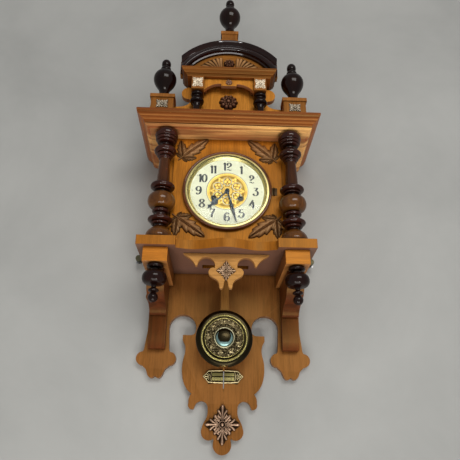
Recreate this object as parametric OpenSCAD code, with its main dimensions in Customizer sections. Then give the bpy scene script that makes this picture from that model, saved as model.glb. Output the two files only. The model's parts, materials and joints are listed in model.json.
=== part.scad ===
// Spring-driven wall clock with an open swinging pendulum, about 1890 to 1900.
// Millimetres. +X to the right, -Y towards the viewer, +Z up. Y = 0 is the wall.
// Inside the modules, heights run up from the bottom tip of the backboard and depths run
// out from the wall. up() moves everything so that the origin is the hanging hole.

/* [Backboard] */
// Thickness of the backboard
board_t = 14; // [12:0.5:16]
// Half the width of the backboard beside the case
board_half_w = 144; // [142:0.5:146]
// Height of the hanging hole above the bottom tip
hang_h = 560; // [550:1:566]
// Radius of the hanging hole in the hanger plate
hang_r = 4; // [3:0.25:5]
// Thickness of the hanger plate
hanger_t = 2; // [1.5:0.25:3]

/* [Case] */
// Height of the shelf's underside above the bottom tip
shelf_h = 325; // [322:1:328]
// Thickness of the shelf
shelf_t = 17; // [15:0.5:19]
// Half the width of the shelf
shelf_half_w = 155.5; // [154:0.5:158]
// Depth of the shelf from the wall
shelf_d = 165; // [164:0.5:167]
// Length of the columns, and so the height inside the case
column_l = 233; // [231:0.5:236]
// Half the outer width of the case
case_half_w = 118; // [116:0.5:119]
// Thickness of the case sides
side_t = 12; // [10:0.5:13]
// Depth of the front of the case, on which the door closes
case_d = 103; // [102.5:0.25:103.25]
// Distance of the column axes from the middle
column_x = 120.5; // [120:0.25:122]
// Depth of the column axes
column_d = 139; // [138:0.25:140]

/* [Cornice] */
// Half the width of the upper cornice
cornice_half_w = 179; // [177:0.5:182]
// Depth of the upper cornice
cornice_d = 171; // [170:0.5:174]
// Height of the upper cornice
cornice_h = 27; // [25:0.5:30]
// Thickness of the lower cornice board
lower_t = 6; // [5:0.25:7]
// Half the width of the lower cornice board
lower_half_w = 162.7; // [161:0.1:164]
// Depth of the lower cornice board
lower_d = 158.5; // [157:0.5:160]

/* [Front panel and door] */
// Half the width of the front panel
panel_half_w = 105.5; // [105:0.25:105.5]
// Thickness of the front panel
door_t = 15; // [14.5:0.25:15.25]
// Radius of the round opening in the front panel
door_hole_r = 80.5; // [80.4:0.1:81]
// Outer radius of the turned wooden ring
ring_r = 87.5; // [86:0.25:89]
// Thickness of the glass
glass_t = 1.8; // [1.5:0.1:2]
// Wall of the brass bezel
bezel_wall = 1; // [0.8:0.1:1.2]
// Radius that shows inside the brass bezel
reveal_r = 72; // [71.5:0.1:72.5]

/* [Dial and hands] */
// Height of the dial's centre above the shelf
dial_up = 116; // [115:0.25:117]
// Radius of the dial
dial_r = 74; // [73.5:0.1:74.2]
// Radius of the gilt centre
gilt_r = 39.5; // [37:0.5:41]
// Thickness of the dial plate
dial_t = 1; // [0.8:0.1:1.2]
// Length of the minute hand
minute_l = 69.5; // [66:0.5:70.5]
// Length of the hour hand
hour_l = 54; // [50:0.5:56]
// Minutes past the hour that the hands show
show_minute = 27.5; // [0:0.5:59.5]
// Hour that the hands show
show_hour = 7; // [0:1:11]

/* [Movement] */
// Half the width of the movement plates
plate_half_w = 52; // [51:0.5:54]
// Thickness of the movement plates
plate_t = 2; // [1.6:0.1:2.2]
// Depth of the back plate's rear face
back_plate_d = 70; // [69.5:0.25:70]
// Clear distance between the plates
plate_gap = 32; // [32:0.25:32.5]
// Distance of the winding squares from the middle
square_x = 25.4; // [25.2:0.1:25.8]
// Distance of the winding squares below the dial's centre
square_down = 15.5; // [15:0.1:16]
// Radius of the train arbors
arbor_r = 1.1; // [0.9:0.05:1.2]
// Radius of the pivots in the plates
pivot_r = 0.8; // [0.6:0.05:1]
// Running clearance of pivots and pipes, on the radius
running = 0.05; // [0.03:0.01:0.08]

/* [Pendulum] */
// Width of the pendulum rod
rod_w = 15; // [13:0.5:16]
// Thickness of the pendulum rod
rod_t = 6; // [5:0.25:6.5]
// Depth of the plane in which the pendulum swings
swing_d = 58; // [57.5:0.25:58.5]
// Radius of the bob
bob_r = 51.2; // [49:0.2:52]
// Height of the bob's centre above the bottom tip
bob_h = 190; // [186:0.5:194]
// Thread pitch of the rating nut
rating_pitch = 0.7; // [0.5:0.1:1]

/* [Crest] */
// Depth of the crest panel's front face
crest_d = 95; // [93:0.5:97]
// Thickness of the crest panel
crest_t = 12; // [10:0.5:14]
// Outer radius of the arched moulding
arch_r = 134; // [132:0.5:136]
// Width of the arched moulding's face
arch_w = 29.5; // [27:0.5:31]
// Radius of the finial balls
ball_r = 26; // [24:0.5:27]

/* [Hidden] */

// Colours
honey = [0.66, 0.40, 0.17];
light_wood = [0.74, 0.48, 0.24];
red_wood = [0.36, 0.15, 0.08];
black_wood = [0.10, 0.06, 0.05];
carved = [0.40, 0.26, 0.15];
brass = [0.78, 0.64, 0.34];
gilt = [0.86, 0.72, 0.40];
steel = [0.55, 0.56, 0.58];
blued = [0.12, 0.14, 0.18];
cream = [0.93, 0.91, 0.82];

// Heights above the bottom tip
shelf_top = shelf_h + shelf_t;
soffit_h = shelf_top + column_l;
cornice_h0 = soffit_h + lower_t;
top_h = cornice_h0 + cornice_h;
dial_h = shelf_top + dial_up;

// Depths from the wall
door_d = case_d + door_t;
dial_face_d = door_d - 1.5;
front_plate_d = back_plate_d + plate_t + plate_gap;
glass_back_d = door_d + 4;
bezel_front_d = glass_back_d + glass_t + bezel_wall;
top_board_t = 8;
soft_fit = 0.3;

// Smooth steps on round work
fine = 96;
small = 48;

// Placing and drawing helpers

// Moves a piece from heights above the tip to heights about the hanging hole
module up() translate([0, 0, -hang_h]) children();

// Extrudes a front-view outline (x, height) between two depths
module slab(d0, d1) translate([0, -d0, 0]) rotate([90, 0, 0]) linear_extrude(d1 - d0) children();

// Turns a profile (radius, depth) about an axis square to the wall
module turned_out(x, h) translate([x, 0, h]) rotate([90, 0, 0]) rotate_extrude($fn = fine) children();

// A round bar square to the wall between two depths
module bar_out(x, h, r, d0, d1)
    translate([x, -d0, h]) rotate([90, 0, 0]) cylinder(r = r, h = d1 - d0, $fn = small);

// A block given by its sides
module block(x0, x1, d0, d1, h0, h1) translate([x0, -d1, h0]) cube([x1 - x0, d1 - d0, h1 - h0]);

// Both the piece and its mirror image
module both() {
    children();
    mirror([1, 0, 0]) children();
}

// Points on an arc about (x, h) from angle a0 to a1 in n steps
function arc(x, h, r, a0, a1, n) =
    [for (i = [0:n]) let (a = a0 + (a1 - a0) * i / n) [x + r * cos(a), h + r * sin(a)]];

// Points on a quadratic curve that leaves p for q and arrives at s
function sweep_curve(p, q, s, n) =
    [for (i = [1:n]) let (t = i / n) (1 - t) * (1 - t) * p + 2 * t * (1 - t) * q + t * t * s];

// The left half of an outline, for joining to the right half
function mirrored(pts) = [for (i = [len(pts) - 1:-1:0]) [-pts[i][0], pts[i][1]]];

// A turned swelling between two heights, from radius r0 out to r1
function bead(r0, r1, h0, h1, n = 10) =
    [for (i = [0:n]) let (a = -90 + 180 * i / n)
        [r0 + (r1 - r0) * cos(a), (h0 + h1) / 2 + (h1 - h0) / 2 * sin(a)]];

// Where two circles cross, on the left of the line from the first to the second
function meet(c0, r0, c1, r1) =
    let (v = c1 - c0, s = norm(v), a = (r0 * r0 - r1 * r1 + s * s) / (2 * s),
        k = sqrt(r0 * r0 - a * a), u = v / s)
    c0 + a * u + k * [-u[1], u[0]];

// Angle of the line from one point to another
function bearing(p, q) = atan2(q[1] - p[1], q[0] - p[0]);

// Toothed outline: n teeth of module m, with one tooth centred on angle a
add_k = 0.80;
ded_k = 1.05;
tooth_k = 0.40;
function teeth(n, m, a) =
    let (rp = n * m / 2, p = 360 / n, w = tooth_k * p / 2)
    [for (i = [0:n - 1], s = [[-1.35, -ded_k], [-0.55, add_k], [0.55, add_k], [1.35, -ded_k]])
        let (r = rp + s[1] * m, t = a + i * p + s[0] * w) [r * cos(t), r * sin(t)]];

// A wheel or pinion with a round hole, at a point of the movement
module gear(c, n, m, a, d0, d1, hole = 0)
    translate([c[0], 0, dial_h + c[1]]) slab(d0, d1) difference() {
        polygon(teeth(n, m, a));
        if (hole > 0) circle(r = hole, $fn = small);
    }

// A moulding profile run round the front and both sides of a box, with mitred corners.
// Profile points are (distance in from the outer line, height).
module mitred(profile, half_w, depth, w) {
    front = [[-half_w, -depth], [half_w, -depth], [half_w - w, w - depth], [w - half_w, w - depth]];
    side = [[half_w, -depth], [half_w, 0], [half_w - w, 0], [half_w - w, w - depth]];
    tall = 200;
    intersection() {
        translate([0, -depth, 0]) rotate([90, 0, 90])
            linear_extrude(2 * half_w, center = true) polygon(profile);
        translate([0, 0, -tall]) linear_extrude(2 * tall) polygon(front);
    }
    for (s = [1, -1]) intersection() {
        rotate([90, 0, 0]) linear_extrude(depth)
            polygon([for (q = profile) [s * (half_w - q[0]), q[1]]]);
        translate([0, 0, -tall]) linear_extrude(2 * tall) polygon([for (q = side) [s * q[0], q[1]]]);
    }
}

// Backboard with ears, side openings and lyre-shaped tail

ear_x = 124.5;
ear_neck_h = 184;
opening_x = 78;
opening_h = 217;
opening_r = 25.5;

// Right half of one ear about its own middle, from the bottom notch up to the neck
ear_half = concat([[0, 129]],
    sweep_curve([0, 129], [3, 125.4], [7, 125.4], 3),
    sweep_curve([7, 125.4], [12.5, 126], [15, 135], 4),
    sweep_curve([15, 135], [17, 142], [22, 144.5], 3),
    [[24.5, 147.5]],
    arc(24.5, 159.8, 12.3, -80, 85, 10),
    sweep_curve([25.6, 172.1], [22.5, 174], [22.5, ear_neck_h], 4));
ear_points = [for (q = concat(mirrored(ear_half), [for (i = [1:len(ear_half) - 1]) ear_half[i]]))
    [ear_x + q[0], q[1]]];

board_top_h = soffit_h;
board_step_h = shelf_top + 26;

board_half = concat(
    arc(0, 16, 16, -90, 25, 10),
    [[16.6, 27]],
    arc(23.5, 36.5, 13.6, -118, 20, 10),
    sweep_curve([36.3, 41.2], [34, 51], [29.5, 57], 4),
    sweep_curve([29.5, 57], [25.4, 64], [26.6, 74], 5),
    arc(38.3, 75.2, 11.7, 172, 12, 12),
    arc(54.3, 80.6, 7.6, -112, 25, 8),
    sweep_curve([61.2, 83.8], [62.4, 92], [56.4, 99.3], 5),
    sweep_curve([56.4, 99.3], [69, 107], [73.4, 124], 6),
    sweep_curve([73.4, 124], [78.4, 146], [72.8, 164], 6),
    sweep_curve([72.8, 164], [68.5, 180], [75, 190], 6),
    [[77, 194], [77, 203.5], [65.5, 203.5]],
    sweep_curve([65.5, 203.5], [57, 203], [54, 208], 4),
    arc(opening_x, opening_h, opening_r, 196, 0, 28),
    [[ear_x - 22.5, ear_neck_h]],
    [for (i = [1:len(ear_points) - 2]) ear_points[i]],
    [[ear_x + 22.5, ear_neck_h], [board_half_w - 0.4, 210], [board_half_w, 262]],
    arc(board_half_w - 0.5, 277, 9.5, -70, 70, 8),
    [[board_half_w, 294], [board_half_w, board_step_h]],
    arc(board_half_w, board_step_h + 26, 26, -90, -180, 8),
    [[case_half_w, board_top_h]]);

hanger_w = 44;
hanger_l = 30;
nail_drop = 5;
head_r = 9;

module backboard() color(honey) up() difference() {
    slab(0, board_t) polygon(concat(board_half, mirrored(board_half)));
    block(-hanger_w / 2, hanger_w / 2, -1, hanger_t, hang_h - hanger_l / 2, hang_h + hanger_l / 2);
    for (h = [hang_h, hang_h - nail_drop]) bar_out(0, h, head_r, hanger_t - 1, hanger_t + 6);
    block(-head_r, head_r, hanger_t - 1, hanger_t + 6, hang_h - nail_drop, hang_h);
    for (x = [-16, 16]) bar_out(x, hang_h, 1.3, hanger_t - 1, hanger_t + 9);
}

// Case: sides, front stiles, shelf and cornice

stile_t = 8;
stile_w = 28;
stile_lip = 10.3;
stile_d = case_d + stile_lip;

module case_sides() color(honey) up() both()
    block(case_half_w - side_t, case_half_w, board_t, case_d - stile_t, shelf_top, soffit_h);

// Each stile is rebated: the front panel lies on one face against the other
module front_stiles() color(honey) up() both() {
    block(case_half_w - stile_w, case_half_w, case_d - stile_t, case_d, shelf_top, soffit_h);
    block(panel_half_w, case_half_w, case_d, stile_d, shelf_top, soffit_h);
}

corner_in = 88.3;
slot_half_w = 44;
slot_d0 = 49;
slot_d1 = 67;
wave_d = 12;
wave_swing = 7.5;
wave_length = 120;

// Depth of the waved front edge of the shelf at a distance x from the middle
function wave(x) = shelf_d - wave_d + wave_swing * cos(360 * x / wave_length);

shelf_points = concat(
    [[-shelf_half_w, -board_t], [-shelf_half_w, -shelf_d], [-corner_in, -shelf_d]],
    [for (i = [-22:22]) [corner_in * i / 22, -wave(corner_in * i / 22)]],
    [[corner_in, -shelf_d], [shelf_half_w, -shelf_d], [shelf_half_w, -board_t]]);

module bottom_shelf() color(light_wood) up() translate([0, 0, shelf_h]) difference() {
    linear_extrude(shelf_t) polygon(shelf_points);
    translate([-slot_half_w, -slot_d1, -1]) cube([2 * slot_half_w, slot_d1 - slot_d0, shelf_t + 2]);
}

lower_profile_w = 13;
lower_points = concat([[0, lower_t], [0, lower_t - 1.2], [1.4, lower_t - 1.6]],
    sweep_curve([1.4, lower_t - 1.6], [2, 2.2], [7, 1.4], 5),
    [[8.4, 0.8], [9.2, 0], [lower_profile_w, 0], [lower_profile_w, lower_t]]);

module cornice_lower() color(light_wood) up() translate([0, 0, soffit_h]) {
    mitred(lower_points, lower_half_w, lower_d, lower_profile_w);
    translate([-(lower_half_w - lower_profile_w), -(lower_d - lower_profile_w), 0])
        cube([2 * (lower_half_w - lower_profile_w), lower_d - lower_profile_w, lower_t]);
}

upper_in = cornice_half_w - lower_half_w;
upper_profile_w = upper_in + 7.7;
upper_points = concat([[0, cornice_h], [0, cornice_h - 4], [0.1 * upper_in, cornice_h - 4.6]],
    sweep_curve([0.1 * upper_in, cornice_h - 4.6], [0.13 * upper_in, cornice_h - 11],
        [0.45 * upper_in, cornice_h - 13.5], 6),
    [[0.5 * upper_in, cornice_h - 15.2], [0.6 * upper_in, cornice_h - 15.6]],
    sweep_curve([0.6 * upper_in, cornice_h - 15.6], [0.88 * upper_in, cornice_h - 17.5],
        [upper_in - 1.6, 3.6], 6),
    [[upper_in - 0.4, 3.2], [upper_in - 0.4, 0], [upper_profile_w, 0], [upper_profile_w, cornice_h]]);

module cornice_upper() color(red_wood) up() translate([0, 0, cornice_h0]) {
    mitred(upper_points, cornice_half_w, cornice_d, upper_profile_w);
    translate([upper_profile_w - cornice_half_w, upper_profile_w - cornice_d, cornice_h - top_board_t])
        cube([2 * (cornice_half_w - upper_profile_w), cornice_d - upper_profile_w, top_board_t]);
}

// Front panel, and the round door: wooden ring, brass bezel, glass, hinge and catch

module front_panel() color(honey) up() difference() {
    block(-panel_half_w, panel_half_w, case_d, door_d, shelf_top, soffit_h);
    slab(case_d - 1, door_d + 1) translate([0, dial_h]) circle(r = door_hole_r, $fn = fine);
}

ring_d = door_d + 0.2;
knuckle_r = 1.6;
hinge_pin_r = 0.8;
leaf_t = 0.7;
hinge_len = 16;
hinge_x = ring_r + knuckle_r + 0.4;
hinge_d = door_d + knuckle_r;
hinge_h = dial_h - hinge_len / 2;
leaf_in = 6;

module door_ring() color(red_wood) up() difference() {
    turned_out(0, dial_h) polygon(concat([[door_hole_r, ring_d], [ring_r, ring_d]],
        sweep_curve([ring_r, ring_d], [ring_r, door_d + 2.4], [ring_r - 2, door_d + 2.8], 5),
        sweep_curve([ring_r - 2, door_d + 2.8], [ring_r - 4, door_d + 5.2],
            [door_hole_r + 0.6, door_d + 4.4], 6),
        [[door_hole_r, door_d + 4]]));
    block(ring_r - leaf_in - soft_fit, ring_r + 1, door_d - 1, ring_d + leaf_t,
        hinge_h - soft_fit, hinge_h + hinge_len + soft_fit);
}

bezel_r = door_hole_r - 0.3;
skirt_d = door_d - 5;
reveal_d = dial_face_d + 0.5;

module door_bezel() color(brass) up() turned_out(0, dial_h)
    polygon([[bezel_r, skirt_d], [bezel_r, bezel_front_d - 0.4], [bezel_r - 0.5, bezel_front_d],
        [bezel_r - 3.6, bezel_front_d], [bezel_r - 3.6, bezel_front_d - bezel_wall + 0.1],
        [bezel_r - bezel_wall, bezel_front_d - bezel_wall + 0.1], [bezel_r - bezel_wall,
            glass_back_d - 0.1],
        [bezel_r - 2.6, glass_back_d - 0.1], [reveal_r, reveal_d + 0.4], [reveal_r, reveal_d],
        [reveal_r + 0.8, reveal_d], [bezel_r - 2, glass_back_d - 1.2],
        [bezel_r - bezel_wall, glass_back_d - 1.2], [bezel_r - bezel_wall, skirt_d]]);

module door_glass() color([0.8, 0.9, 0.9, 0.35]) up()
    bar_out(0, dial_h, bezel_r - bezel_wall - 0.15, glass_back_d, glass_back_d + glass_t);

module hinge_barrel(h0, h1) difference() {
    translate([hinge_x, -hinge_d, h0]) cylinder(r = knuckle_r, h = h1 - h0, $fn = small);
    translate([hinge_x, -hinge_d, h0 - 1])
        cylinder(r = hinge_pin_r + running, h = h1 - h0 + 2, $fn = small);
}

knuckle_l = hinge_len / 4;
leaf_gap = 0.25;

// The fixed leaf lies on the front panel; the pin is fast in its two knuckles
module hinge_case_leaf() color(brass) up() translate([0, 0, hinge_h]) {
    for (h = [0, 3 * knuckle_l]) {
        translate([hinge_x, -hinge_d, h]) cylinder(r = knuckle_r, h = knuckle_l, $fn = small);
        block(hinge_x, hinge_x + knuckle_r + 1, door_d, door_d + leaf_t, h, h + knuckle_l);
    }
    block(hinge_x + knuckle_r + leaf_gap, hinge_x + leaf_in, door_d, door_d + leaf_t, 0, hinge_len);
    translate([hinge_x, -hinge_d, 0.5]) cylinder(r = hinge_pin_r, h = hinge_len - 1, $fn = small);
}

// The moving leaf is let into the back of the ring
module hinge_door_leaf() color(brass) up() {
    h0 = hinge_h + knuckle_l + leaf_gap;
    h1 = hinge_h + 3 * knuckle_l - leaf_gap;
    hinge_barrel(h0, h1);
    difference() {
        block(ring_r - leaf_in, hinge_x, ring_d, ring_d + leaf_t - 0.1, h0, h1);
        translate([hinge_x, -hinge_d, h0 - 1])
            cylinder(r = hinge_pin_r + running, h = h1 - h0 + 2, $fn = small);
    }
    block(ring_r - leaf_in, ring_r, ring_d, ring_d + leaf_t - 0.1, hinge_h, hinge_h + hinge_len);
}

catch_t = 2;
catch_w = 9;
tongue_t = 1;
tongue_h = 8;

// Spring catch behind the front panel, with a tongue beside the bezel's skirt
module door_catch() color(brass) up() {
    block(-door_hole_r - catch_w, soft_fit + tongue_t - door_hole_r, case_d - catch_t, case_d,
        dial_h - tongue_h / 2, dial_h + tongue_h / 2);
    block(soft_fit - door_hole_r, soft_fit + tongue_t - door_hole_r, case_d - 1, skirt_d - 0.6,
        dial_h - tongue_h / 2, dial_h + tongue_h / 2);
}

// Carved leaves on the front panel

lobe_half = concat([[0, 0.05]], sweep_curve([0, 0.05], [0.16, 0.23], [0.42, 0.20], 5),
    sweep_curve([0.42, 0.20], [0.74, 0.15], [1, 0], 5));
lobe_outline = concat(lobe_half,
    [for (i = [len(lobe_half) - 2:-1:0]) [lobe_half[i][0], -lobe_half[i][1]]]);
stem_l = 0.13;
stem_half_w = 0.022;
corner_lobe = 0.6;
corner_turn = 57;
inner_lobe = 0.42;
inner_turn = -44;
leaf_foot = 0.06;

// A leaf of three pointed lobes on a stem, at a point of the panel and turned by an angle
module leaf(x, h, a, size, flip) translate([x, h]) rotate(a) scale(size) {
    circle(r = leaf_foot, $fn = 24);
    polygon(lobe_outline);
    rotate(flip * corner_turn) scale(corner_lobe) polygon(lobe_outline);
    rotate(flip * inner_turn) scale(inner_lobe) polygon(lobe_outline);
    translate([-stem_l, -stem_half_w]) square([2 * stem_l, 2 * stem_half_w]);
}

leaf_size = 65;
leaf_t_d = 3.4;
leaf_low_x = 92.5;
leaf_low_h = shelf_top + 56.7;
leaf_low_turn = -36;
leaf_high_x = 88.7;
leaf_high_h = soffit_h - 44;
leaf_high_turn = 41;

module leaf_carvings() color(carved) up() slab(door_d, door_d + leaf_t_d) difference() {
    both() {
        leaf(-leaf_high_x, leaf_high_h, leaf_high_turn, leaf_size, 1);
        leaf(-leaf_low_x, leaf_low_h, leaf_low_turn, leaf_size, -1);
    }
    translate([0, dial_h]) circle(r = ring_r + soft_fit, $fn = fine);
}

// Turned columns and pendant drops

column_profile = concat([[0, 0], [22.6, 0]],
    sweep_curve([22.6, 0], [25.4, 3], [24.4, 8], 4),
    sweep_curve([24.4, 8], [22.5, 18], [12, 24], 6), [[8.8, 26], [8.4, 28.5]],
    bead(9, 16.4, 29.5, 35.5, 8), bead(13, 22.2, 35.5, 45, 12), [[10, 47], [9.2, 50]],
    bead(10, 15.6, 53.5, 61, 8), [[12, 62.5]],
    bead(15, 25.4, 64, 92.5, 16), [[11, 94], [9.6, 96.5], [10, 98]],
    bead(11, 16.8, 98.5, 103, 6), bead(14, 22.6, 103, 114, 12), [[13, 115.5]],
    [[12, 118], [11.8, 126], [11, 144], [10.1, 160], [9.9, 168]],
    bead(10, 12.4, 168.5, 173, 6), [[10.5, 174]],
    bead(11, 16.2, 174.5, 180, 8), bead(14, 21.4, 180.5, 192.5, 12),
    [[12, 194], [8.2, 198], [7.8, 202], [9, 203.5]],
    bead(13, 17.6, 204, 209.5, 8), bead(16, 20.6, 209.5, 216, 8), bead(18, 22.4, 216, 231, 12),
    [[15, column_l], [0, column_l]]);

module columns() color(red_wood) up() both()
    translate([column_x, -column_d, shelf_top]) rotate_extrude($fn = fine) polygon(column_profile);

rail_x0 = 101;
rail_x1 = 144;
rail_h = 26;
rail_d = 155;
drop_l = 68;
drop_x = 122;

drop_profile = concat([[0, 0], [8, 0]],
    bead(11, 14.6, -1, -8, 8), [[6.5, -9], [5.6, -13]],
    bead(12, 21.3, -14, -37, 16), [[5, -38.5], [4, -42]],
    bead(5.5, 9.2, -44.5, -50, 8), [[4.2, -51.5]],
    [for (i = [1:10]) let (a = 62 - 152 * i / 10) [8.7 * cos(a), -59.3 + 8.7 * sin(a)]]);

module shelf_rails() color(light_wood) up() both()
    block(rail_x0, rail_x1, board_t, rail_d, shelf_h - rail_h, shelf_h);

module pendant_drops() color(black_wood) up() both()
    translate([drop_x, -column_d, shelf_h - rail_h]) rotate_extrude($fn = fine) polygon(drop_profile);

// S-shaped brackets under the rails

bracket_x0 = 108.5;
bracket_x1 = 139.5;
bracket_low_h = 176;
bracket_d = 118;
bracket_foot_d = 32;

bracket_points = let (t = shelf_h - rail_h) concat(
    [[board_t, t], [bracket_d, t]],
    sweep_curve([bracket_d, t], [bracket_d - 1, t - 40], [76, t - 47], 10),
    sweep_curve([76, t - 47], [52, t - 50], [44, t - 60], 7),
    sweep_curve([44, t - 60], [40, t - 65], [bracket_foot_d, t - 63], 5),
    sweep_curve([bracket_foot_d, t - 63], [bracket_foot_d - 2.6, t - 90], [bracket_foot_d - 1,
        bracket_low_h + 6], 6),
    [[bracket_foot_d - 2, bracket_low_h], [board_t, bracket_low_h]]);

module scroll_brackets() color(honey) up() both() translate([bracket_x1, 0, 0]) rotate([90, 0, -90])
    linear_extrude(bracket_x1 - bracket_x0) polygon(bracket_points);

// Fretwork apron under the shelf, cast ornaments and the beat scale

apron_d = 128;
apron_t = 9;

apron_half = concat([[0, 279]],
    sweep_curve([0, 279], [3.2, 275], [4.2, 265], 4),
    [[6.5, 261.2], [9.6, 261]],
    sweep_curve([9.6, 261], [11.8, 263], [11.6, 268], 3),
    sweep_curve([11.6, 268], [13, 276], [21, 279.5], 5),
    arc(22.4, 290.4, 8.4, -62, 112, 9),
    [[20.2, 300.5]],
    arc(35, 302.6, 15.4, 184, 4, 14),
    [[51.2, 302.4], [53.8, 301.6]],
    sweep_curve([53.8, 301.6], [58, 311], [66, 316.4], 5),
    [[72.5, 320.5], [77, shelf_h]]);

module apron() color(light_wood) up() slab(apron_d - apron_t, apron_d)
    polygon(concat(apron_half, mirrored(apron_half)));

// A pierced lozenge of cast leaves: four long lobes and four short ones
function lozenge(rx, rh, n = 64) = [for (i = [0:n - 1]) let (a = 360 * i / n,
    k = 0.66 + 0.34 * pow(abs(cos(2 * a)), 0.8) + 0.06 * cos(8 * a),
    d = 1 / (abs(cos(a)) + abs(sin(a)))) [rx * k * d * cos(a), rh * k * d * sin(a)]];

cast_h = 48.5;
cast_d = 4.5;

module cast_ornaments() color([0.62, 0.58, 0.52]) up() {
    slab(apron_d, apron_d + 3.5) translate([0, 293]) polygon(lozenge(17, 17.5));
    slab(board_t, board_t + cast_d) translate([0, cast_h]) polygon(lozenge(30, 31));
}

scale_h = 129;

module beat_scale() color(brass) up() {
    slab(board_t, board_t + 1.2) translate([0, scale_h]) polygon(concat(
        [[-37, 0], [-31, -4], [-27, -10]],
        arc(0, -150, 139.6, 101, 79, 12),
        [[27, -10], [31, -4], [37, 0], [31, 4], [27, 10]],
        arc(0, -132, 142.8, 79.2, 100.8, 12),
        [[-27, 10], [-31, 4]]));
    for (x = [-32, 32]) bar_out(x, scale_h, 1, board_t + 1.2, board_t + 2);
}

// Wall fittings: hanger plate with its screws, and the lugs of the two steadying screws

lug_h = shelf_top + 8;
lug_x0 = 128;
lug_x1 = 178;
lug_t = 2.5;
lug_w = 14;
knob_x = 171;
wall_screw_r = 2.5;
wall_screw_travel = 6;

module wall_fittings() color(steel) up() {
    difference() {
        block(-hanger_w / 2, hanger_w / 2, 0, hanger_t, hang_h - hanger_l / 2, hang_h + hanger_l / 2);
        bar_out(0, hang_h, hang_r, -1, hanger_t + 1);
        for (x = [-16, 16]) bar_out(x, hang_h, 1.3, -1, hanger_t + 1);
    }
    for (x = [-16, 16]) bar_out(x, hang_h, 1.3, 0, hanger_t + 8);
    both() difference() {
        block(lug_x0, lug_x1, board_t, board_t + lug_t, lug_h - lug_w / 2, lug_h + lug_w / 2);
        bar_out(knob_x, lug_h, wall_screw_r + running, board_t - 1, board_t + lug_t + 1);
    }
    for (s = [-1, 1], x = [lug_x0 + 4, lug_x0 + 11]) bar_out(s * x, lug_h, 2, board_t + lug_t,
        board_t + lug_t + 1.2);
}

module wall_screw(x) {
    bar_out(x, lug_h, wall_screw_r, wall_screw_travel + 1.5, board_t + lug_t + wall_screw_travel + 4);
    bar_out(x, lug_h, 6.5, board_t + lug_t + wall_screw_travel + 1,
        board_t + lug_t + wall_screw_travel + 8);
}

module wall_screw_left() color(brass) up() wall_screw(-knob_x);
module wall_screw_right() color(brass) up() wall_screw(knob_x);

// Crest: panel, entablature, arched pediment, blocks and finials

crest_neck_x = 82;
lobe_x = 86;
lobe_h = 711;
lobe_r = 16;
crest_low_h = 674;
plinth_x = 138.3;
plinth_half_w = 23.3;
crest_moulding_h = 732;
crest_moulding_t = 17;

crest_half = concat([[cornice_half_w - 3, top_h]],
    sweep_curve([cornice_half_w - 3, top_h], [cornice_half_w - 5, crest_low_h - 6],
        [plinth_x + plinth_half_w, crest_low_h + 12], 8),
    [[plinth_x, crest_low_h + 2], [plinth_x - plinth_half_w, crest_low_h]],
    sweep_curve([plinth_x - plinth_half_w, crest_low_h], [crest_neck_x + 4, crest_low_h - 1],
        [crest_neck_x, 690], 7),
    sweep_curve([crest_neck_x, 690], [crest_neck_x, 694], [crest_neck_x + 4, 695], 2),
    arc(lobe_x, lobe_h, lobe_r, -78, 100, 12),
    [[74, 726], [74, crest_moulding_h]]);

module crest_panel() color(honey) up()
    slab(crest_d - crest_t, crest_d) polygon(concat(crest_half, mirrored(crest_half)));

frieze_d = 118;
frieze_t = 9;
key_half_w = 16.4;
key_low_h = 714.5;
capital_x = 66.4;
capital_half_w = 13;

frieze_half = concat([[0, key_low_h], [key_half_w, key_low_h], [key_half_w, 719.5]],
    sweep_curve([key_half_w, 719.5], [36, 721], [capital_x - capital_half_w, 702], 8),
    [[capital_x - capital_half_w, crest_moulding_h]]);

module frieze_board() color(honey) up() {
    slab(frieze_d - frieze_t, frieze_d) polygon(concat(frieze_half, mirrored(frieze_half)));
    both() block(capital_x - capital_half_w - 6, capital_x - capital_half_w, crest_d, frieze_d - frieze_t,
        710, crest_moulding_h);
}

moulding_half_w = 101.5;
moulding_d = 137;
moulding_back_d = crest_d - crest_t;
moulding_w = 20;
crest_moulding_points = let (t = crest_moulding_t) concat([[0, t], [0, t - 2.6], [1.2, t - 3.2]],
    sweep_curve([1.2, t - 3.2], [2, t - 8], [6.4, t - 10], 5),
    [[7, t - 11.6], [8.4, t - 12]],
    sweep_curve([8.4, t - 12], [11, t - 13], [11.8, 1.6], 3),
    [[11.8, 0], [moulding_w, 0], [moulding_w, t]]);

module crest_moulding() color(light_wood) up() intersection() {
    translate([0, 0, crest_moulding_h]) {
        mitred(crest_moulding_points, moulding_half_w, moulding_d, moulding_w);
        translate([moulding_w - moulding_half_w, moulding_w - moulding_d, 0])
            cube([2 * (moulding_half_w - moulding_w), moulding_d - moulding_w, crest_moulding_t]);
    }
    block(-200, 200, moulding_back_d, 200, crest_moulding_h - 5, crest_moulding_h + 60);
}

pediment_h = crest_moulding_h + crest_moulding_t;
arch_h = 705;
tympanum_d = 110;
tympanum_half_w = 106.5;
arch_half_w = 104.5;
arch_d = 125;

module tympanum_board() color(honey) up() slab(tympanum_d - 14, tympanum_d) intersection() {
    translate([0, arch_h]) circle(r = arch_r - 1, $fn = fine);
    translate([-tympanum_half_w, pediment_h]) square([2 * tympanum_half_w, 200]);
}

// Arched moulding: a half-round between two fillets, turned about the arch's centre
arch_profile = let (r0 = arch_r - arch_w, d0 = tympanum_d) concat(
    [[r0, d0], [r0, d0 + 5], [r0 + 3, d0 + 6]],
    sweep_curve([r0 + 3, d0 + 6], [r0 + 5, arch_d + 1], [r0 + 12, arch_d - 1], 7),
    sweep_curve([r0 + 12, arch_d - 1], [r0 + 18, arch_d - 3], [r0 + 19, arch_d - 6], 4),
    [[r0 + 21, arch_d - 6.4]],
    sweep_curve([r0 + 21, arch_d - 6.4], [r0 + 26, arch_d - 4], [arch_r - 1.5, arch_d], 5),
    [[arch_r, arch_d], [arch_r, d0]]);

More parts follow.
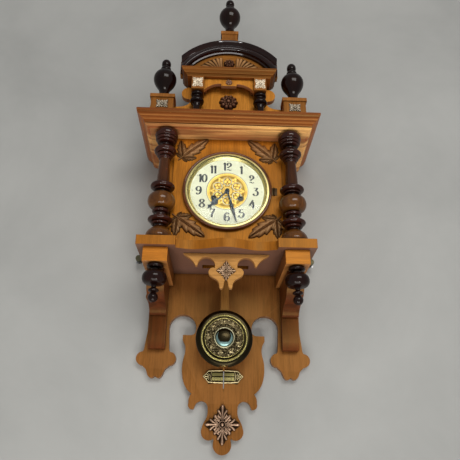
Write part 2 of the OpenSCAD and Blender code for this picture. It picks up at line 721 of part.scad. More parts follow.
module arch_moulding() color(black_wood) up() intersection() {
    turned_out(0, arch_h) polygon(arch_profile);
    block(-arch_half_w, arch_half_w, 50, 200, pediment_h, pediment_h + 150);
}

function daisy(r, n,
    k) = [for (i = [0:6 * n - 1]) let (a = 60 * i / n) (r * (1 - k + k * abs(cos(n * a / 2)))) * [cos(a),
        sin(a)]];

rosette_h = 688;
palm_half = [[9, 758], [14, 770], [20, 782], [30, 788], [42, 784], [56, 778], [68, 768], [78, 756], [80,
    751],
    [60, 751.5], [36, 752], [12, 753]];

module crest_carvings() color(carved) up() {
    slab(crest_d, crest_d + 9) translate([0, rosette_h]) polygon(daisy(20.6, 12, 0.16));
    slab(frieze_d, frieze_d + 4) translate([0, 723.2]) polygon(daisy(7.6, 8, 0.16));
    slab(tympanum_d, tympanum_d + 6) translate([0, 783]) polygon(daisy(11.5, 10, 0.14));
    both() slab(tympanum_d, tympanum_d + 4) polygon(palm_half);
}

colonnette_x = 67;
colonnette_d = 110.4;
colonnette_top = 699;
colonnette_profile = let (h = colonnette_top - top_h) concat([[0, 0], [12, 0], [12, 5], [9, 7]],
    [[7.2, 12], [6.8, 30], [7, 54], [8.4, 60]],
    bead(9.5, 14.8, 62, 74, 10), [[10, 75], [8.2, 78.5], [9, 81]],
    bead(9.5, 13.2, 81.5, 89.5, 8), [[9, h], [0, h]]);

module colonnettes() color(black_wood) up() both()
    translate([colonnette_x, -colonnette_d, top_h]) rotate_extrude($fn = fine) polygon(colonnette_profile);

plinth_d = 126;
plinth_top = 682;
cap_t = 8.5;
cap_out = 2.6;
crown_h = arch_h + arch_r;
crown_top = 875;
crown_d0 = 92;
crown_d1 = 118;

module crest_blocks() color(honey) up() {
    for (s = [-1, 1]) {
        block(s * plinth_x - plinth_half_w, s * plinth_x + plinth_half_w, crest_d, plinth_d - cap_out,
            top_h, plinth_top - cap_t);
        block(s * plinth_x - plinth_half_w - cap_out, s * plinth_x + plinth_half_w + cap_out, crest_d,
            plinth_d, plinth_top - cap_t, plinth_top);
        block(s * capital_x - capital_half_w, s * capital_x + capital_half_w, crest_d, plinth_d,
            colonnette_top, crest_moulding_h);
    }
    difference() {
        union() {
            block(-17.6, 17.6, crown_d0 + 2, crown_d1 - 2, crown_h - 6, crown_top - 8);
            block(-19.2, 19.2, crown_d0, crown_d1 - 0.6, crown_h - 6, crown_h + 11);
            block(-20, 20, crown_d0, crown_d1, crown_top - 8.5, crown_top);
        }
        turned_out(0, arch_h) polygon([[0, tympanum_d], [arch_r, tympanum_d], [arch_r, 200], [0, 200]]);
        turned_out(0, arch_h) polygon([[0, 50], [arch_r - 1, 50], [arch_r - 1, tympanum_d], [0,
            tympanum_d]]);
    }
}

finial_d = 108;
finial_profile = concat([[0, 0], [13, 0], [13.4, 3], [11.5, 6], [10.4, 12]],
    [for (i = [0:16]) let (a = -63 + 118 * i / 16) [ball_r * cos(a),
        46.5 + 24.5 * (sin(a) + 0.06 * sin(2 * a))]],
    [[13.6, 69], [14.2, 72], [12, 74.5], [9, 76.5]],
    bead(8, 12.2, 77, 85, 8), [[8.2, 86.5]],
    bead(7.8, 10.8, 87.5, 95, 8), [[7.6, 96.5]],
    [for (i = [1:9]) let (a = 10 + 80 * i / 9) [8 * cos(a), 99 + 7.6 * sin(a)]]);

module finials() color(black_wood) up() for (p = [[-plinth_x, plinth_top], [plinth_x, plinth_top], [0,
    crown_top]])
    translate([p[0], -finial_d, p[1]]) rotate_extrude($fn = fine) polygon(finial_profile);

function square_flower(w, h) = [for (i = [0:47]) let (a = 7.5 * i,
    k = 0.80 + 0.20 * cos(4 * a + 180), q = max(abs(cos(a)), abs(sin(a)))) [w * k * cos(a) / q,
        h * k * sin(a) / q]];

module gilt_ornaments() color(gilt) up() both() {
    slab(plinth_d - cap_out, plinth_d - cap_out + 2.5) translate([plinth_x,
        657]) polygon(square_flower(13, 10));
    slab(plinth_d, plinth_d + 2.5) translate([capital_x, 715.5]) polygon(square_flower(12.4, 13.5));
}

// Dial and motion work. Gear centres are (x, height) about the dial's centre.

centre = [0, 0];
cannon_n = 12;
cannon_m = 0.5;
minute_n = 36;
minute_pinion_n = 12;
hour_m = 0.4;
hour_n = 48;
motion_gap = cannon_m * (cannon_n + minute_n) / 2;
minute_c = [0, -motion_gap];
motion_d = front_plate_d + plate_t;
cannon_pipe_r = 2;
hour_pipe_r = 3;
hour_hand_d = dial_face_d + 1.1;
minute_hand_d = dial_face_d + 2.9;
hand_t = 0.7;
going_c = [square_x, -square_down];
strike_c = [-square_x, -square_down];
square_hole_r = 4;
minute_angle = 90 - 6 * show_minute;
hour_angle = 90 - 30 * (show_hour + show_minute / 60);

module dial() color(cream) up() {
    difference() {
        union() {
            bar_out(0, dial_h, dial_r, dial_face_d - dial_t, dial_face_d);
            turned_out(0, dial_h) polygon([[0, dial_face_d], [gilt_r, dial_face_d], [gilt_r,
                dial_face_d + 0.3],
                [gilt_r - 0.6, dial_face_d + 0.5], [gilt_r - 2, dial_face_d + 0.5], [gilt_r - 3,
                    dial_face_d + 0.3],
                [0, dial_face_d + 0.3]]);
        }
        bar_out(0, dial_h, hour_pipe_r + 0.4, dial_face_d - 3, dial_face_d + 3);
        for (x = [-square_x, square_x]) bar_out(x, dial_h - square_down, square_hole_r, dial_face_d - 3,
            dial_face_d + 3);
    }
    for (x = [-40, 40], z = [-34, 40])
        bar_out(x, dial_h + z, 2.2, front_plate_d + plate_t, dial_face_d - dial_t);
}

// Minute hand: slender baluster; hour hand: pierced spade with a fleur tip
minute_half = [[3, 3.6], [9, 1.2], [22, 1.6], [34, 3.2], [43, 3.0], [52, 2.0], [minute_l - 3, 0.8],
    [minute_l, 0.2]];
hour_half = [[3, 3.8], [7, 1.4], [26, 1.3], [28, 2.6], [31, 5.4], [35, 6.6], [39, 4.2], [42, 1.8], [45,
    2.4],
    [48, 5.2], [49, 2.0], [hour_l, 0.3]];
function hand_outline(half) = concat(half, [for (i = [len(half) - 1:-1:0]) [half[i][0], -half[i][1]]]);

module hand(half, hole_r, boss_r, d, a) translate([0, 0, dial_h]) slab(d, d + hand_t) difference() {
    rotate(a) union() {
        polygon(hand_outline(half));
        circle(r = boss_r, $fn = small);
    }
    if (hole_r > 0) circle(r = hole_r, $fn = small);
}

module hour_hand() color(blued) up() {
    hand(hour_half, cannon_pipe_r + running, 4.6, hour_hand_d, hour_angle);
    difference() {
        union() {
            bar_out(0, dial_h, hour_pipe_r, motion_d + 4, hour_hand_d + hand_t);
            gear(centre, hour_n, hour_m, 90 + 180 / hour_n, motion_d + 4, motion_d + 5);
        }
        bar_out(0, dial_h, cannon_pipe_r + running, motion_d, minute_hand_d);
    }
}

// Going train: barrel, intermediate, centre, third and escape wheels

great_n = 80;
great_m = 0.6;
inter_pinion_n = 10;
inter_n = 60;
inter_m = 0.5;
centre_pinion_n = 10;
centre_n = 68;
centre_m = 0.45;
third_pinion_n = 8;
third_n = 74;
third_m = 0.4;
escape_pinion_n = 8;
escape_n = 40;
escape_r = 12;
anchor_up = 15.8;
great_gap = great_m * (great_n + inter_pinion_n) / 2;
inter_gap = inter_m * (inter_n + centre_pinion_n) / 2;
centre_gap = centre_m * (centre_n + third_pinion_n) / 2;
third_gap = third_m * (third_n + escape_pinion_n) / 2;
inter_c = meet(centre, inter_gap, going_c, great_gap);
third_a = 112;
third_c = centre_gap * [cos(third_a), sin(third_a)];
escape_c = [0, third_c[1] + sqrt(third_gap * third_gap - third_c[0] * third_c[0])];
anchor_c = escape_c + [0, anchor_up];

inner_d = back_plate_d + plate_t;
escape_d = inner_d + 1;
third_d = inner_d + 3.2;
great_d = inner_d + 6;
drum_r = 22.4;
drum_d1 = great_d + 18.5;
inter_d = drum_d1 + 1.5;
centre_d = inter_d + 3;

// An arbor between the plates with a pivot at each end
module arbor(c, r = arbor_r) {
    bar_out(c[0], dial_h + c[1], r, inner_d + 0.3, front_plate_d - 0.3);
    bar_out(c[0], dial_h + c[1], pivot_r, back_plate_d, front_plate_d + plate_t);
}

module minute_hand() color(blued) up() {
    hand(minute_half, 0, 4.4, minute_hand_d, minute_angle);
    bar_out(0, dial_h, 1.6, minute_hand_d, minute_hand_d + hand_t + 0.9);
    bar_out(0, dial_h, cannon_pipe_r, front_plate_d + plate_t + 0.3, minute_hand_d + hand_t);
    gear(centre, cannon_n, cannon_m, -90, motion_d + 0.6, motion_d + 3);
    arbor(centre);
    bar_out(0, dial_h, pivot_r, front_plate_d, motion_d + 2);
    gear(centre, centre_n, centre_m, bearing(centre, third_c), centre_d, centre_d + 1.3);
    gear(centre, centre_pinion_n, inter_m, bearing(inter_c, centre) + 180 + 180 / centre_pinion_n,
        inter_d - 0.8, inter_d + 2.2);
}

stud_r = 1;

// Minute wheel and its pinion, which turn on a stud in the front plate
module minute_wheel() color(brass) up() difference() {
    union() {
        gear(minute_c, minute_n, cannon_m, 90 + 180 / minute_n, motion_d + 1, motion_d + 2.2);
        bar_out(minute_c[0], dial_h + minute_c[1], 1.8, motion_d + 0.3, motion_d + 3.2);
        gear(minute_c, minute_pinion_n, hour_m, 90, motion_d + 3, motion_d + 5.6);
    }
    bar_out(minute_c[0], dial_h + minute_c[1], stud_r + running, motion_d, motion_d + 8);
}

barrel_arbor_r = 3;
winding_square = 3.2;
spring_turns = 7;
spring_t = 0.35;
spring_pitch = 1.7;

// Coiled mainspring inside a barrel, in 24 steps a turn
function coil_points(r0,
    side) = [for (i = [0:24 * spring_turns]) let (r = r0 + side + spring_pitch * i / 24)
    [r * cos(15 * i), r * sin(15 * i)]];

module barrel(c, a) translate([c[0], 0, dial_h + c[1]]) {
    slab(great_d, drum_d1) difference() {
        circle(r = drum_r, $fn = fine);
        circle(r = drum_r - 1.2, $fn = fine);
    }
    for (d = [[great_d, great_d + 1.6, drum_r], [drum_d1 - 1, drum_d1, drum_r]]) slab(d[0],
        d[1]) difference() {
        circle(r = d[2], $fn = fine);
        circle(r = barrel_arbor_r + running, $fn = small);
    }
    slab(great_d, great_d + 1.6) difference() {
        polygon(teeth(great_n, great_m, a));
        circle(r = drum_r - 0.6, $fn = fine);
    }
}

module going_barrel() color(brass) up() barrel(going_c, bearing(going_c, inter_c));
module strike_barrel() color(brass) up() barrel(strike_c, bearing(strike_c, pin_c));

ratchet_r = 9.6;

// Winding arbor with its square, its ratchet wheel and the mainspring hooked to it
module winding_arbor(c) translate([c[0], 0, dial_h + c[1]]) {
    bar_out(0, 0, barrel_arbor_r, inner_d + 0.4, front_plate_d - 0.4);
    bar_out(0, 0, 2.2, back_plate_d, motion_d + 2);
    slab(motion_d + 0.4, motion_d + 1.8) polygon([for (i = [0:19], s = [0, 1])
        (s == 0 ? ratchet_r : ratchet_r - 1.6) * [cos(18 * i + 2 * s), sin(18 * i + 2 * s)]]);
    translate([-winding_square / 2, -dial_face_d + 1, -winding_square / 2])
        cube([winding_square, dial_face_d - motion_d - 1.5, winding_square]);
    slab(great_d + 2.6, drum_d1 - 2)
        polygon(concat(coil_points(barrel_arbor_r, -0.1), [for (q = [len(coil_points(0, 0)) - 1:-1:0])
            coil_points(barrel_arbor_r, spring_t)[q]]));
}

module going_winding_arbor() color(steel) up() winding_arbor(going_c);
module strike_winding_arbor() color(steel) up() winding_arbor(strike_c);

// Click beside each ratchet wheel, on a stud in the front plate
click_at = [ratchet_r + 4.2, -9];
click_points = [[-2.6, -1.6], [0, -3], [2.4, -1.4], [2.4, 2], [0.4, 7.4], [-3.9, 8.6], [-3.9, 7.6], [-2.2,
    5]];
function click_c(s) = [s * (square_x + click_at[0]), click_at[1] - square_down];

module click(s) translate([click_c(s)[0], 0, dial_h + click_c(s)[1]]) slab(motion_d + 0.3, motion_d + 1.9)
    difference() {
    polygon([for (q = click_points) [s * q[0], q[1]]]);
    circle(r = stud_r + running, $fn = small);
}

module going_click() color(steel) up() click(1);
module strike_click() color(steel) up() click(-1);

module intermediate_wheel() color(brass) up() {
    arbor(inter_c);
    gear(inter_c, inter_pinion_n, great_m, bearing(going_c, inter_c) + 180 + 180 / inter_pinion_n,
        great_d - 0.8, great_d + 2.6);
    gear(inter_c, inter_n, inter_m, bearing(inter_c, centre), inter_d, inter_d + 1.2);
}

module third_wheel() color(brass) up() {
    arbor(third_c, 1);
    gear(third_c, third_pinion_n, centre_m, bearing(centre, third_c) + 180 + 180 / third_pinion_n,
        centre_d - 1, front_plate_d - 0.8);
    gear(third_c, third_n, third_m, bearing(third_c, escape_c), third_d, third_d + 1);
}

// Escape wheel with pointed teeth
module escape_wheel() color(brass) up() {
    arbor(escape_c, 1);
    gear(escape_c, escape_pinion_n, third_m, bearing(third_c, escape_c) + 180 + 180 / escape_pinion_n,
        third_d - 0.6, third_d + 1.8);
    translate([escape_c[0], 0, dial_h + escape_c[1]]) slab(escape_d, escape_d + 1) polygon(
        [for (i = [0:escape_n - 1], s = [0, 1]) let (a = 360 * i / escape_n)
            (s == 0 ? escape_r : escape_r - 1.8) * [cos(a + 3.5 * s), sin(a + 3.5 * s)]]);
}

// Anchor with its pallets, arbor, crutch and fork
crutch_d = swing_d + rod_t / 2 + 1;
crutch_l = 40;
fork_in = rod_w / 2 + soft_fit;

module anchor() color(steel) up() {
    translate([anchor_c[0], 0, dial_h + anchor_c[1]]) {
        bar_out(0, 0, 1.2, inner_d + 0.3, front_plate_d - 0.3);
        bar_out(0, 0, pivot_r, crutch_d, front_plate_d + plate_t);
        slab(escape_d - 0.5, escape_d + 1.5) polygon(concat(
            [[-10.4, -7.4], [-12.8, -6.4]], sweep_curve([-12.8, -6.4], [-9, 3.6], [0, 3.4], 6),
            sweep_curve([0, 3.4], [9, 3.6], [12.8, -6.4], 6), [[10.4, -7.4]],
            sweep_curve([10.4, -7.4], [7, -1.2], [0, -1.4], 6),
            sweep_curve([0, -1.4], [-7, -1.2], [-10.4, -7.4], 5)));
        slab(crutch_d, crutch_d + 1.4) polygon([[-3, 3], [3, 3], [1.4, -6], [1.4, -crutch_l], [-1.4,
            -crutch_l], [-1.4, -6]]);
        slab(crutch_d, crutch_d + 1.4) translate([-fork_in - 1.4, -crutch_l]) square([2 * fork_in + 2.8,
            3]);
        for (s = [-1, 1]) slab(swing_d - rod_t / 2, crutch_d + 1.4)
            translate([s * (fork_in + 0.7) - 0.7, -crutch_l]) square([1.4, 3]);
    }
}

// Strike train: pin wheel, warning wheel with the fly, hammer and gong

pin_pinion_n = 10;
pin_n = 60;
pin_m = 0.45;
fly_pinion_n = 8;
pin_c = strike_c + great_gap * [cos(95), sin(95)];
fly_gap = pin_m * (pin_n + fly_pinion_n) / 2;
fly_c = pin_c + fly_gap * [cos(74), sin(74)];

module strike_pin_wheel() color(brass) up() {
    arbor(pin_c);
    gear(pin_c, pin_pinion_n, great_m, bearing(strike_c, pin_c) + 180 + 180 / pin_pinion_n, great_d - 0.8,
        great_d + 2.6);
    gear(pin_c, pin_n, pin_m, bearing(pin_c, fly_c), inter_d, inter_d + 1.2);
    for (i = [0:7]) bar_out(pin_c[0] + 10 * cos(45 * i), dial_h + pin_c[1] + 10 * sin(45 * i), 0.6,
        inter_d + 1.2, inter_d + 3.6);
}

module strike_fly() color(brass) up() {
    arbor(fly_c, 1);
    gear(fly_c, fly_pinion_n, pin_m, bearing(pin_c, fly_c) + 180 + 180 / fly_pinion_n, inter_d - 1,
        inter_d + 2.4);
    translate([fly_c[0], 0, dial_h + fly_c[1]]) slab(inner_d + 8, inner_d + 20) square([17, 0.8],
        center = true);
}

hammer_c = [-46, 4];
hammer_d = back_plate_d - 6;
gong_h = shelf_top + 62;
gong_r = 34;
gong_d = 26;
hammer_end = [-47, gong_h - dial_h];

module hammer() color(brass) up() {
    arbor(hammer_c, 1.2);
    bar_out(hammer_c[0], dial_h + hammer_c[1], 1.2, hammer_d - 0.6, inner_d + 0.4);
    translate([0, 0, dial_h]) {
        slab(hammer_d, hammer_d + 2) polygon([[hammer_c[0] - 2.4, hammer_c[1] + 3], [hammer_c[0] + 2.4,
            hammer_c[1] + 3],
            [hammer_end[0] + 1.6, hammer_end[1] - 1.6], [hammer_end[0] - 1.6, hammer_end[1] - 1.6]]);
        slab(inter_d + 1.6, inter_d + 3) polygon([hammer_c + [-2.2, -1.6], hammer_c + [0.6, -2.4],
            hammer_c + [7.2, 3.2], hammer_c + [6.4, 4.2]]);
        bar_out(hammer_end[0], hammer_end[1], 1.4, gong_d, hammer_d + 1);
        translate([hammer_end[0] - 3.5, -gong_d, hammer_end[1]]) rotate([0, 90, 0]) cylinder(r = 4,
            h = 10.6, $fn = small);
    }
}

// Flat spiral gong: one unbroken rod, with its outer end in the block
gong_turns = 3.25;
gong_pitch = 7.5;
gong_wire_r = 1.4;
gong_steps = 24;
gong_n = gong_turns * gong_steps;
function gong_at(i) = let (a = -90 - 360 * i / gong_steps,
    r = gong_r - gong_pitch * i / gong_steps) [r * cos(a), r * sin(a)];
function gong_ring(i) = let (a = -90 - 360 * i / gong_steps, p = gong_at(i))
    [for (k = [0:5]) let (b = 60 * k) [p[0] + gong_wire_r * cos(b) * cos(a),
        p[1] + gong_wire_r * cos(b) * sin(a), gong_wire_r * sin(b)]];
gong_block_h = gong_h - gong_r;
gong_block_up = gong_block_h + gong_pitch - 2 * gong_wire_r - 0.7;

module gong() color(steel) up() {
    translate([0, -gong_d, gong_h]) rotate([90, 0, 0]) polyhedron(
        points = [for (i = [0:gong_n]) each gong_ring(i)],
        faces = concat([[0, 1, 2, 3, 4, 5]], [for (i = [0:gong_n - 1], k = [0:5]) each let (a = 6 * i + k,
            b = 6 * i + (k + 1) % 6)
            [[a, a + 6, b + 6], [a, b + 6, b]]],
            [[for (k = [5:-1:0]) 6 * gong_n + k]]));
    difference() {
        block(0, 15, board_t, gong_d + 6, gong_block_h - 7, gong_block_up);
        bar_out(10, gong_block_h, 1.6, board_t - 1, gong_d + 7);
    }
    bar_out(10, gong_block_h, 1.6, board_t, gong_d + 7.5);
}

// Movement plates, suspension cock and the bracket that carries the movement

plate_low = -45;
plate_high = 57;
pillars = [[-46, 51], [46, 51], [-46, -39], [46, -39]];
round_pivots = [inter_c, third_c, escape_c, anchor_c, pin_c, fly_c];

module plate_blank(d0, d1) translate([0, 0, dial_h]) slab(d0, d1)
    translate([-plate_half_w, plate_low]) square([2 * plate_half_w, plate_high - plate_low]);

module pierced_front() difference() {
    plate_blank(front_plate_d, front_plate_d + plate_t);
    for (c = concat(round_pivots, [centre, hammer_c])) bar_out(c[0], dial_h + c[1], pivot_r + running,
        front_plate_d - 1, front_plate_d + plate_t + 1);
    for (c = [going_c, strike_c]) bar_out(c[0], dial_h + c[1], 2.2 + running, front_plate_d - 1,
        front_plate_d + plate_t + 1);
}

// Front plate with the studs of the minute wheel and the clicks
module front_plate() color(brass) up() {
    pierced_front();
    for (c = [minute_c, click_c(1), click_c(-1)]) bar_out(c[0], dial_h + c[1], stud_r,
        front_plate_d + plate_t, motion_d + 3);
    bar_out(minute_c[0], dial_h + minute_c[1], stud_r, front_plate_d + plate_t, motion_d + 6.4);
    for (s = [1, -1]) bar_out(click_c(s)[0], dial_h + click_c(s)[1], 2, motion_d + 2.2, motion_d + 3);
}

cock_h = anchor_c[1] + 4;
cock_slit = 0.24;
spring_w = 7;

module back_plate() color(brass) up() {
    difference() {
        plate_blank(back_plate_d, inner_d);
        for (c = concat(round_pivots, [centre])) bar_out(c[0], dial_h + c[1], pivot_r + running,
            back_plate_d - 1, inner_d + 1);
        bar_out(hammer_c[0], dial_h + hammer_c[1], 1.2 + running, back_plate_d - 1, inner_d + 1);
        for (c = [going_c, strike_c]) bar_out(c[0], dial_h + c[1], 2.2 + running, back_plate_d - 1,
            inner_d + 1);
    }
    for (p = pillars) bar_out(p[0], dial_h + p[1], 3, inner_d, front_plate_d);
    block(-6, 6, swing_d - 5, back_plate_d, dial_h + cock_h, plate_high + dial_h);
    block(-cock_slit / 2, cock_slit / 2, swing_d - spring_w / 2, swing_d + spring_w / 2,
        dial_h + anchor_c[1] + 0.05, dial_h + cock_h);
}

arm_t = 4;

module movement_bracket() color(steel) up() both() {
    block(plate_half_w, plate_half_w + arm_t, board_t, front_plate_d + plate_t, dial_h - 12, dial_h + 4);
    block(plate_half_w + arm_t, plate_half_w + 22, board_t, board_t + 3, dial_h - 12, dial_h + 4);
    bar_out(plate_half_w + 14, dial_h - 4, 3, board_t + 3, board_t + 5);
}

// Pendulum: suspension spring, rod, needle, bob and rating nut

rod_top = anchor_c[1] - 8;
rod_end_h = bob_h - 26;
needle_h = 99;
nut_t = 4.5;
nut_h = bob_h - bob_r + 2.2;
nut_r = 5.4;
thread_r = 1.6;

// The suspension spring is cut at its bending line: the lower half swings with the rod
module pendulum_rod() color(honey) up() {
    block(-cock_slit / 2, cock_slit / 2, swing_d - spring_w / 2, swing_d + spring_w / 2,
        dial_h + rod_top, dial_h + anchor_c[1] - 0.05);
    block(-rod_w / 2, rod_w / 2, swing_d - rod_t / 2, swing_d + rod_t / 2, rod_end_h, dial_h + rod_top);
    translate([0, -swing_d, needle_h]) cylinder(r = 0.9, h = rod_end_h - needle_h, $fn = small);
    translate([0, -swing_d, nut_h - 8]) cylinder(r = thread_r, h = rod_end_h - nut_h + 8, $fn = small);
}

bob_front = swing_d + 9;
bob_profile = [[bob_r - 3.4, swing_d - 8], [bob_r - 1, swing_d - 5], [bob_r, swing_d], [bob_r - 1.2,
    swing_d + 4],
    [bob_r - 6, bob_front - 0.6], [bob_r - 11, bob_front], [bob_r - 12.4, bob_front - 1], [bob_r - 13.2,
        bob_front - 2.4],
    [bob_r - 15, bob_front - 2.4], [bob_r - 16, bob_front], [21.5, bob_front + 1.4], [20, bob_front], [17,
        bob_front + 0.2],
    [15.6, bob_front + 2.2], [11, bob_front + 5], [6, bob_front + 6.4], [0, bob_front + 7], [0,
        bob_front - 4],
    [bob_r - 8, bob_front - 4], [bob_r - 3, swing_d + 3], [bob_r - 1.8, swing_d], [bob_r - 4.8,
        swing_d - 8]];

// Bob, slotted for the rod, with a bridge at the back that rests on the rating nut
module pendulum_bob() color(brass) up() {
    difference() {
        turned_out(0, bob_h) polygon(bob_profile);
        block(-rod_w / 2 - soft_fit, rod_w / 2 + soft_fit, swing_d - 12, swing_d + rod_t / 2 + soft_fit,
            bob_h + 20, bob_h + bob_r + 8);
        block(-nut_r - 1.5, nut_r + 1.5, swing_d - 12, swing_d + nut_r + 0.4, nut_h - 8, nut_h + nut_t + 1);
    }
    difference() {
        block(-9, 9, swing_d - 4, bob_front - 3.9, nut_h + nut_t + soft_fit, nut_h + nut_t + 3.5);
        translate([0, -swing_d, nut_h]) cylinder(r = thread_r + soft_fit, h = 12, $fn = small);
    }
}

module rating_nut() color(brass) up() translate([0, -swing_d, nut_h]) difference() {
    cylinder(r = nut_r, h = nut_t, $fn = small);
    translate([0, 0, -1]) cylinder(r = thread_r + running, h = nut_t + 2, $fn = small);
}

backboard();
case_sides();
front_stiles();
bottom_shelf();
cornice_lower();
cornice_upper();
front_panel();
door_ring();
door_bezel();
door_glass();
hinge_case_leaf();
hinge_door_leaf();
door_catch();
leaf_carvings();
columns();
shelf_rails();
pendant_drops();
scroll_brackets();
apron();
cast_ornaments();
beat_scale();
wall_fittings();
wall_screw_left();
wall_screw_right();
crest_panel();
frieze_board();
crest_moulding();
tympanum_board();
arch_moulding();
crest_carvings();
colonnettes();
crest_blocks();
finials();
gilt_ornaments();
dial();
hour_hand();
minute_hand();
front_plate();
back_plate();
movement_bracket();
going_barrel();
strike_barrel();
going_winding_arbor();
strike_winding_arbor();
going_click();
strike_click();
intermediate_wheel();
third_wheel();
escape_wheel();
anchor();
minute_wheel();
strike_pin_wheel();
strike_fly();
hammer();
gong();
pendulum_rod();
pendulum_bob();
rating_nut();
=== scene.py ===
# %% [markdown]
# # A spring-driven wall clock with an open pendulum
#
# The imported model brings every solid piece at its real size: boards, mouldings, turned columns, plates,
# wheels and the pendulum. This file dresses it. It rounds the edges of the boards, carves the leaves and
# rosettes, presses the brass and paints the dial, and gives each piece its wood, metal or paint.
#
# Sizes are in millimetres up to the moment when a mesh is made. A point is written as (x, d, h): x to the
# right, d out from the wall towards the viewer, h up from the bottom tip of the backboard.

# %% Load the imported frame
import json
import math

import bmesh
import bpy
import numpy as np
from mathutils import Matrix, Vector


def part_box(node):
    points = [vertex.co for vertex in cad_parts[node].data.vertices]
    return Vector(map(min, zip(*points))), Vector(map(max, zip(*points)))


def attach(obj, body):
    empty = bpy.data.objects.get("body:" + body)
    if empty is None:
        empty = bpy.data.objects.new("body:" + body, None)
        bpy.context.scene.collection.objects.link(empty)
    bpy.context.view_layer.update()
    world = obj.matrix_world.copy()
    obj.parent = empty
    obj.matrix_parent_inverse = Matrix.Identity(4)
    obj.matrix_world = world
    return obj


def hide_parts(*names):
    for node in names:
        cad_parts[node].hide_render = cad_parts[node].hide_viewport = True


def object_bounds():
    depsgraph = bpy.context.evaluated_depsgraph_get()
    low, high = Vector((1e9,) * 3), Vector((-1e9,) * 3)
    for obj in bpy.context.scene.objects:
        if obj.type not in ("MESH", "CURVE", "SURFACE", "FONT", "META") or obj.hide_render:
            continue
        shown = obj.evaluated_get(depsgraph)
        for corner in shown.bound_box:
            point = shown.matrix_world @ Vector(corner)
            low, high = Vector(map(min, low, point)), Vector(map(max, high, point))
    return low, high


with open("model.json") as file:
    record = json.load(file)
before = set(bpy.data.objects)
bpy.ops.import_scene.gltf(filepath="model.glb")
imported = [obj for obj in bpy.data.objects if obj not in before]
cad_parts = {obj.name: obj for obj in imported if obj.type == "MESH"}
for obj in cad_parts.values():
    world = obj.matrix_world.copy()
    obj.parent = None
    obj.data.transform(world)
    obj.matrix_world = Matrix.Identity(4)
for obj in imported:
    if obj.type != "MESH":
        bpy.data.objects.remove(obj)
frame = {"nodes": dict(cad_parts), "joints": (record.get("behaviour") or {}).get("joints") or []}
cad_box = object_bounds()
nodes = frame["nodes"]
joints = {joint["name"]: joint for joint in frame["joints"]}
MM = 0.001
tip_z = cad_box[0][2]
print("packed nodes:", len(nodes), "box:", [round(v, 4) for corner in cad_box for v in corner])


# %% [markdown]
# ## From millimetres to the frame
#
# One function turns (x, d, h) into the frame's metres. The places that most pieces need, such as the
# middle of the dial and the depth of the panel's face, could be typed in, but they are read from the
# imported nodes, so that they follow the solids. The two plinths stand PLINTH_X to either side of the
# middle, and whatever is glued or nailed on sinks in by SUNK.


# %% Places read from the frame
def place(x, d, h):
    """Points in the frame: x and minus d in metres, and the height measured from the bottom tip."""
    x, d, h = np.broadcast_arrays(np.asarray(x, float), np.asarray(d, float), np.asarray(h, float))
    return np.stack([x * MM, -d * MM, h * MM + tip_z], axis=-1)


def sides(node):
    """A node's lowest and highest x, nearest and farthest d, and lowest and highest h, in millimetres."""
    (x0, y0, z0), (x1, y1, z1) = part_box(node)
    return x0 / MM, x1 / MM, -y1 / MM, -y0 / MM, (z0 - tip_z) / MM, (z1 - tip_z) / MM


def height_of(joint):
    """How high above the bottom tip a joint's axis lies, in millimetres."""
    return (joints[joint]["pos_m"][2] - tip_z) / MM


def put(name, data):
    """A new object in the scene."""
    made = bpy.data.objects.new(name, data)
    bpy.context.scene.collection.objects.link(made)
    return made


dial_h = height_of("minute_turn")
square_x = joints["going_winding_turn"]["pos_m"][0] / MM
square_h = height_of("going_winding_turn")
panel_face = sides("front_panel")[3]
board_face = sides("backboard")[3]
crest_face = sides("crest_panel")[3]
dial_face = sides("dial")[3] - 0.5
PLINTH_X = 138.3
SUNK = 0.2
bob_left, bob_right, _, bob_front, _, bob_top = sides("pendulum_bob")
bob_r = (bob_right - bob_left) / 2
bob_h = bob_top - bob_r
print("dial's middle", round(dial_h, 1), "panel's face", round(panel_face, 1), "bob's", round(bob_h, 1))

# %% [markdown]
# ## The camera
#
# The clock lies on its back and was photographed from beyond its lower end. The camera was solved from
# straight lines and symmetric pairs in the picture. A constraint could aim it at the clock, but its place
# and its turns about x, y and z in degrees also give the picture's framing.

# %% Camera
CAMERA_PLACE = (-16.7, 892.7, 24.3)
CAMERA_TURNS = (114.40170, -0.65569, -1.98745)
FOCAL_PIXELS, PICTURE, SENSOR = 462.8, 460, 36.0
camera = put("camera", bpy.data.cameras.new("camera"))
camera.data.sensor_width = SENSOR
camera.data.lens = FOCAL_PIXELS / PICTURE * SENSOR
camera.location = place(*CAMERA_PLACE)
camera.rotation_euler = np.radians(CAMERA_TURNS)
bpy.context.scene.camera = camera
bpy.context.scene.view_settings.view_transform = "Standard"
print("camera at", [round(v, 3) for v in camera.location], "lens", round(camera.data.lens, 2))

# %% [markdown]
# ## Small tools for materials
#
# Every finish below is a node tree. It could be drawn by hand in the Shader Editor, but written out it
# can be read, changed and run again. `add` makes one node and fills its sockets, either with a value or
# with a link from another node, so that a finish reads as a list of steps.


# %% Node helpers
def add(tree, kind, inputs=None, **settings):
    """Makes a node, sets its options, and fills each named or numbered input with a value or a link."""
    made = tree.nodes.new(kind)
    for name, value in settings.items():
        setattr(made, name, value)
    for socket, value in (inputs or {}).items():
        if isinstance(value, bpy.types.NodeSocket):
            tree.links.new(value, made.inputs[socket])
        else:
            made.inputs[socket].default_value = value
    return made


def colour(rgb):
    """A colour socket's value from three linear parts."""
    return (*rgb, 1.0)


def shade(red, green, blue):
    """Linear parts of a colour given as a picture stores it, from 0 to 255: the usual screen curve undone."""
    share = np.array([red, green, blue]) / 255
    return np.where(share <= 0.04045, share / 12.92, ((share + 0.055) / 1.055) ** 2.4).tolist()


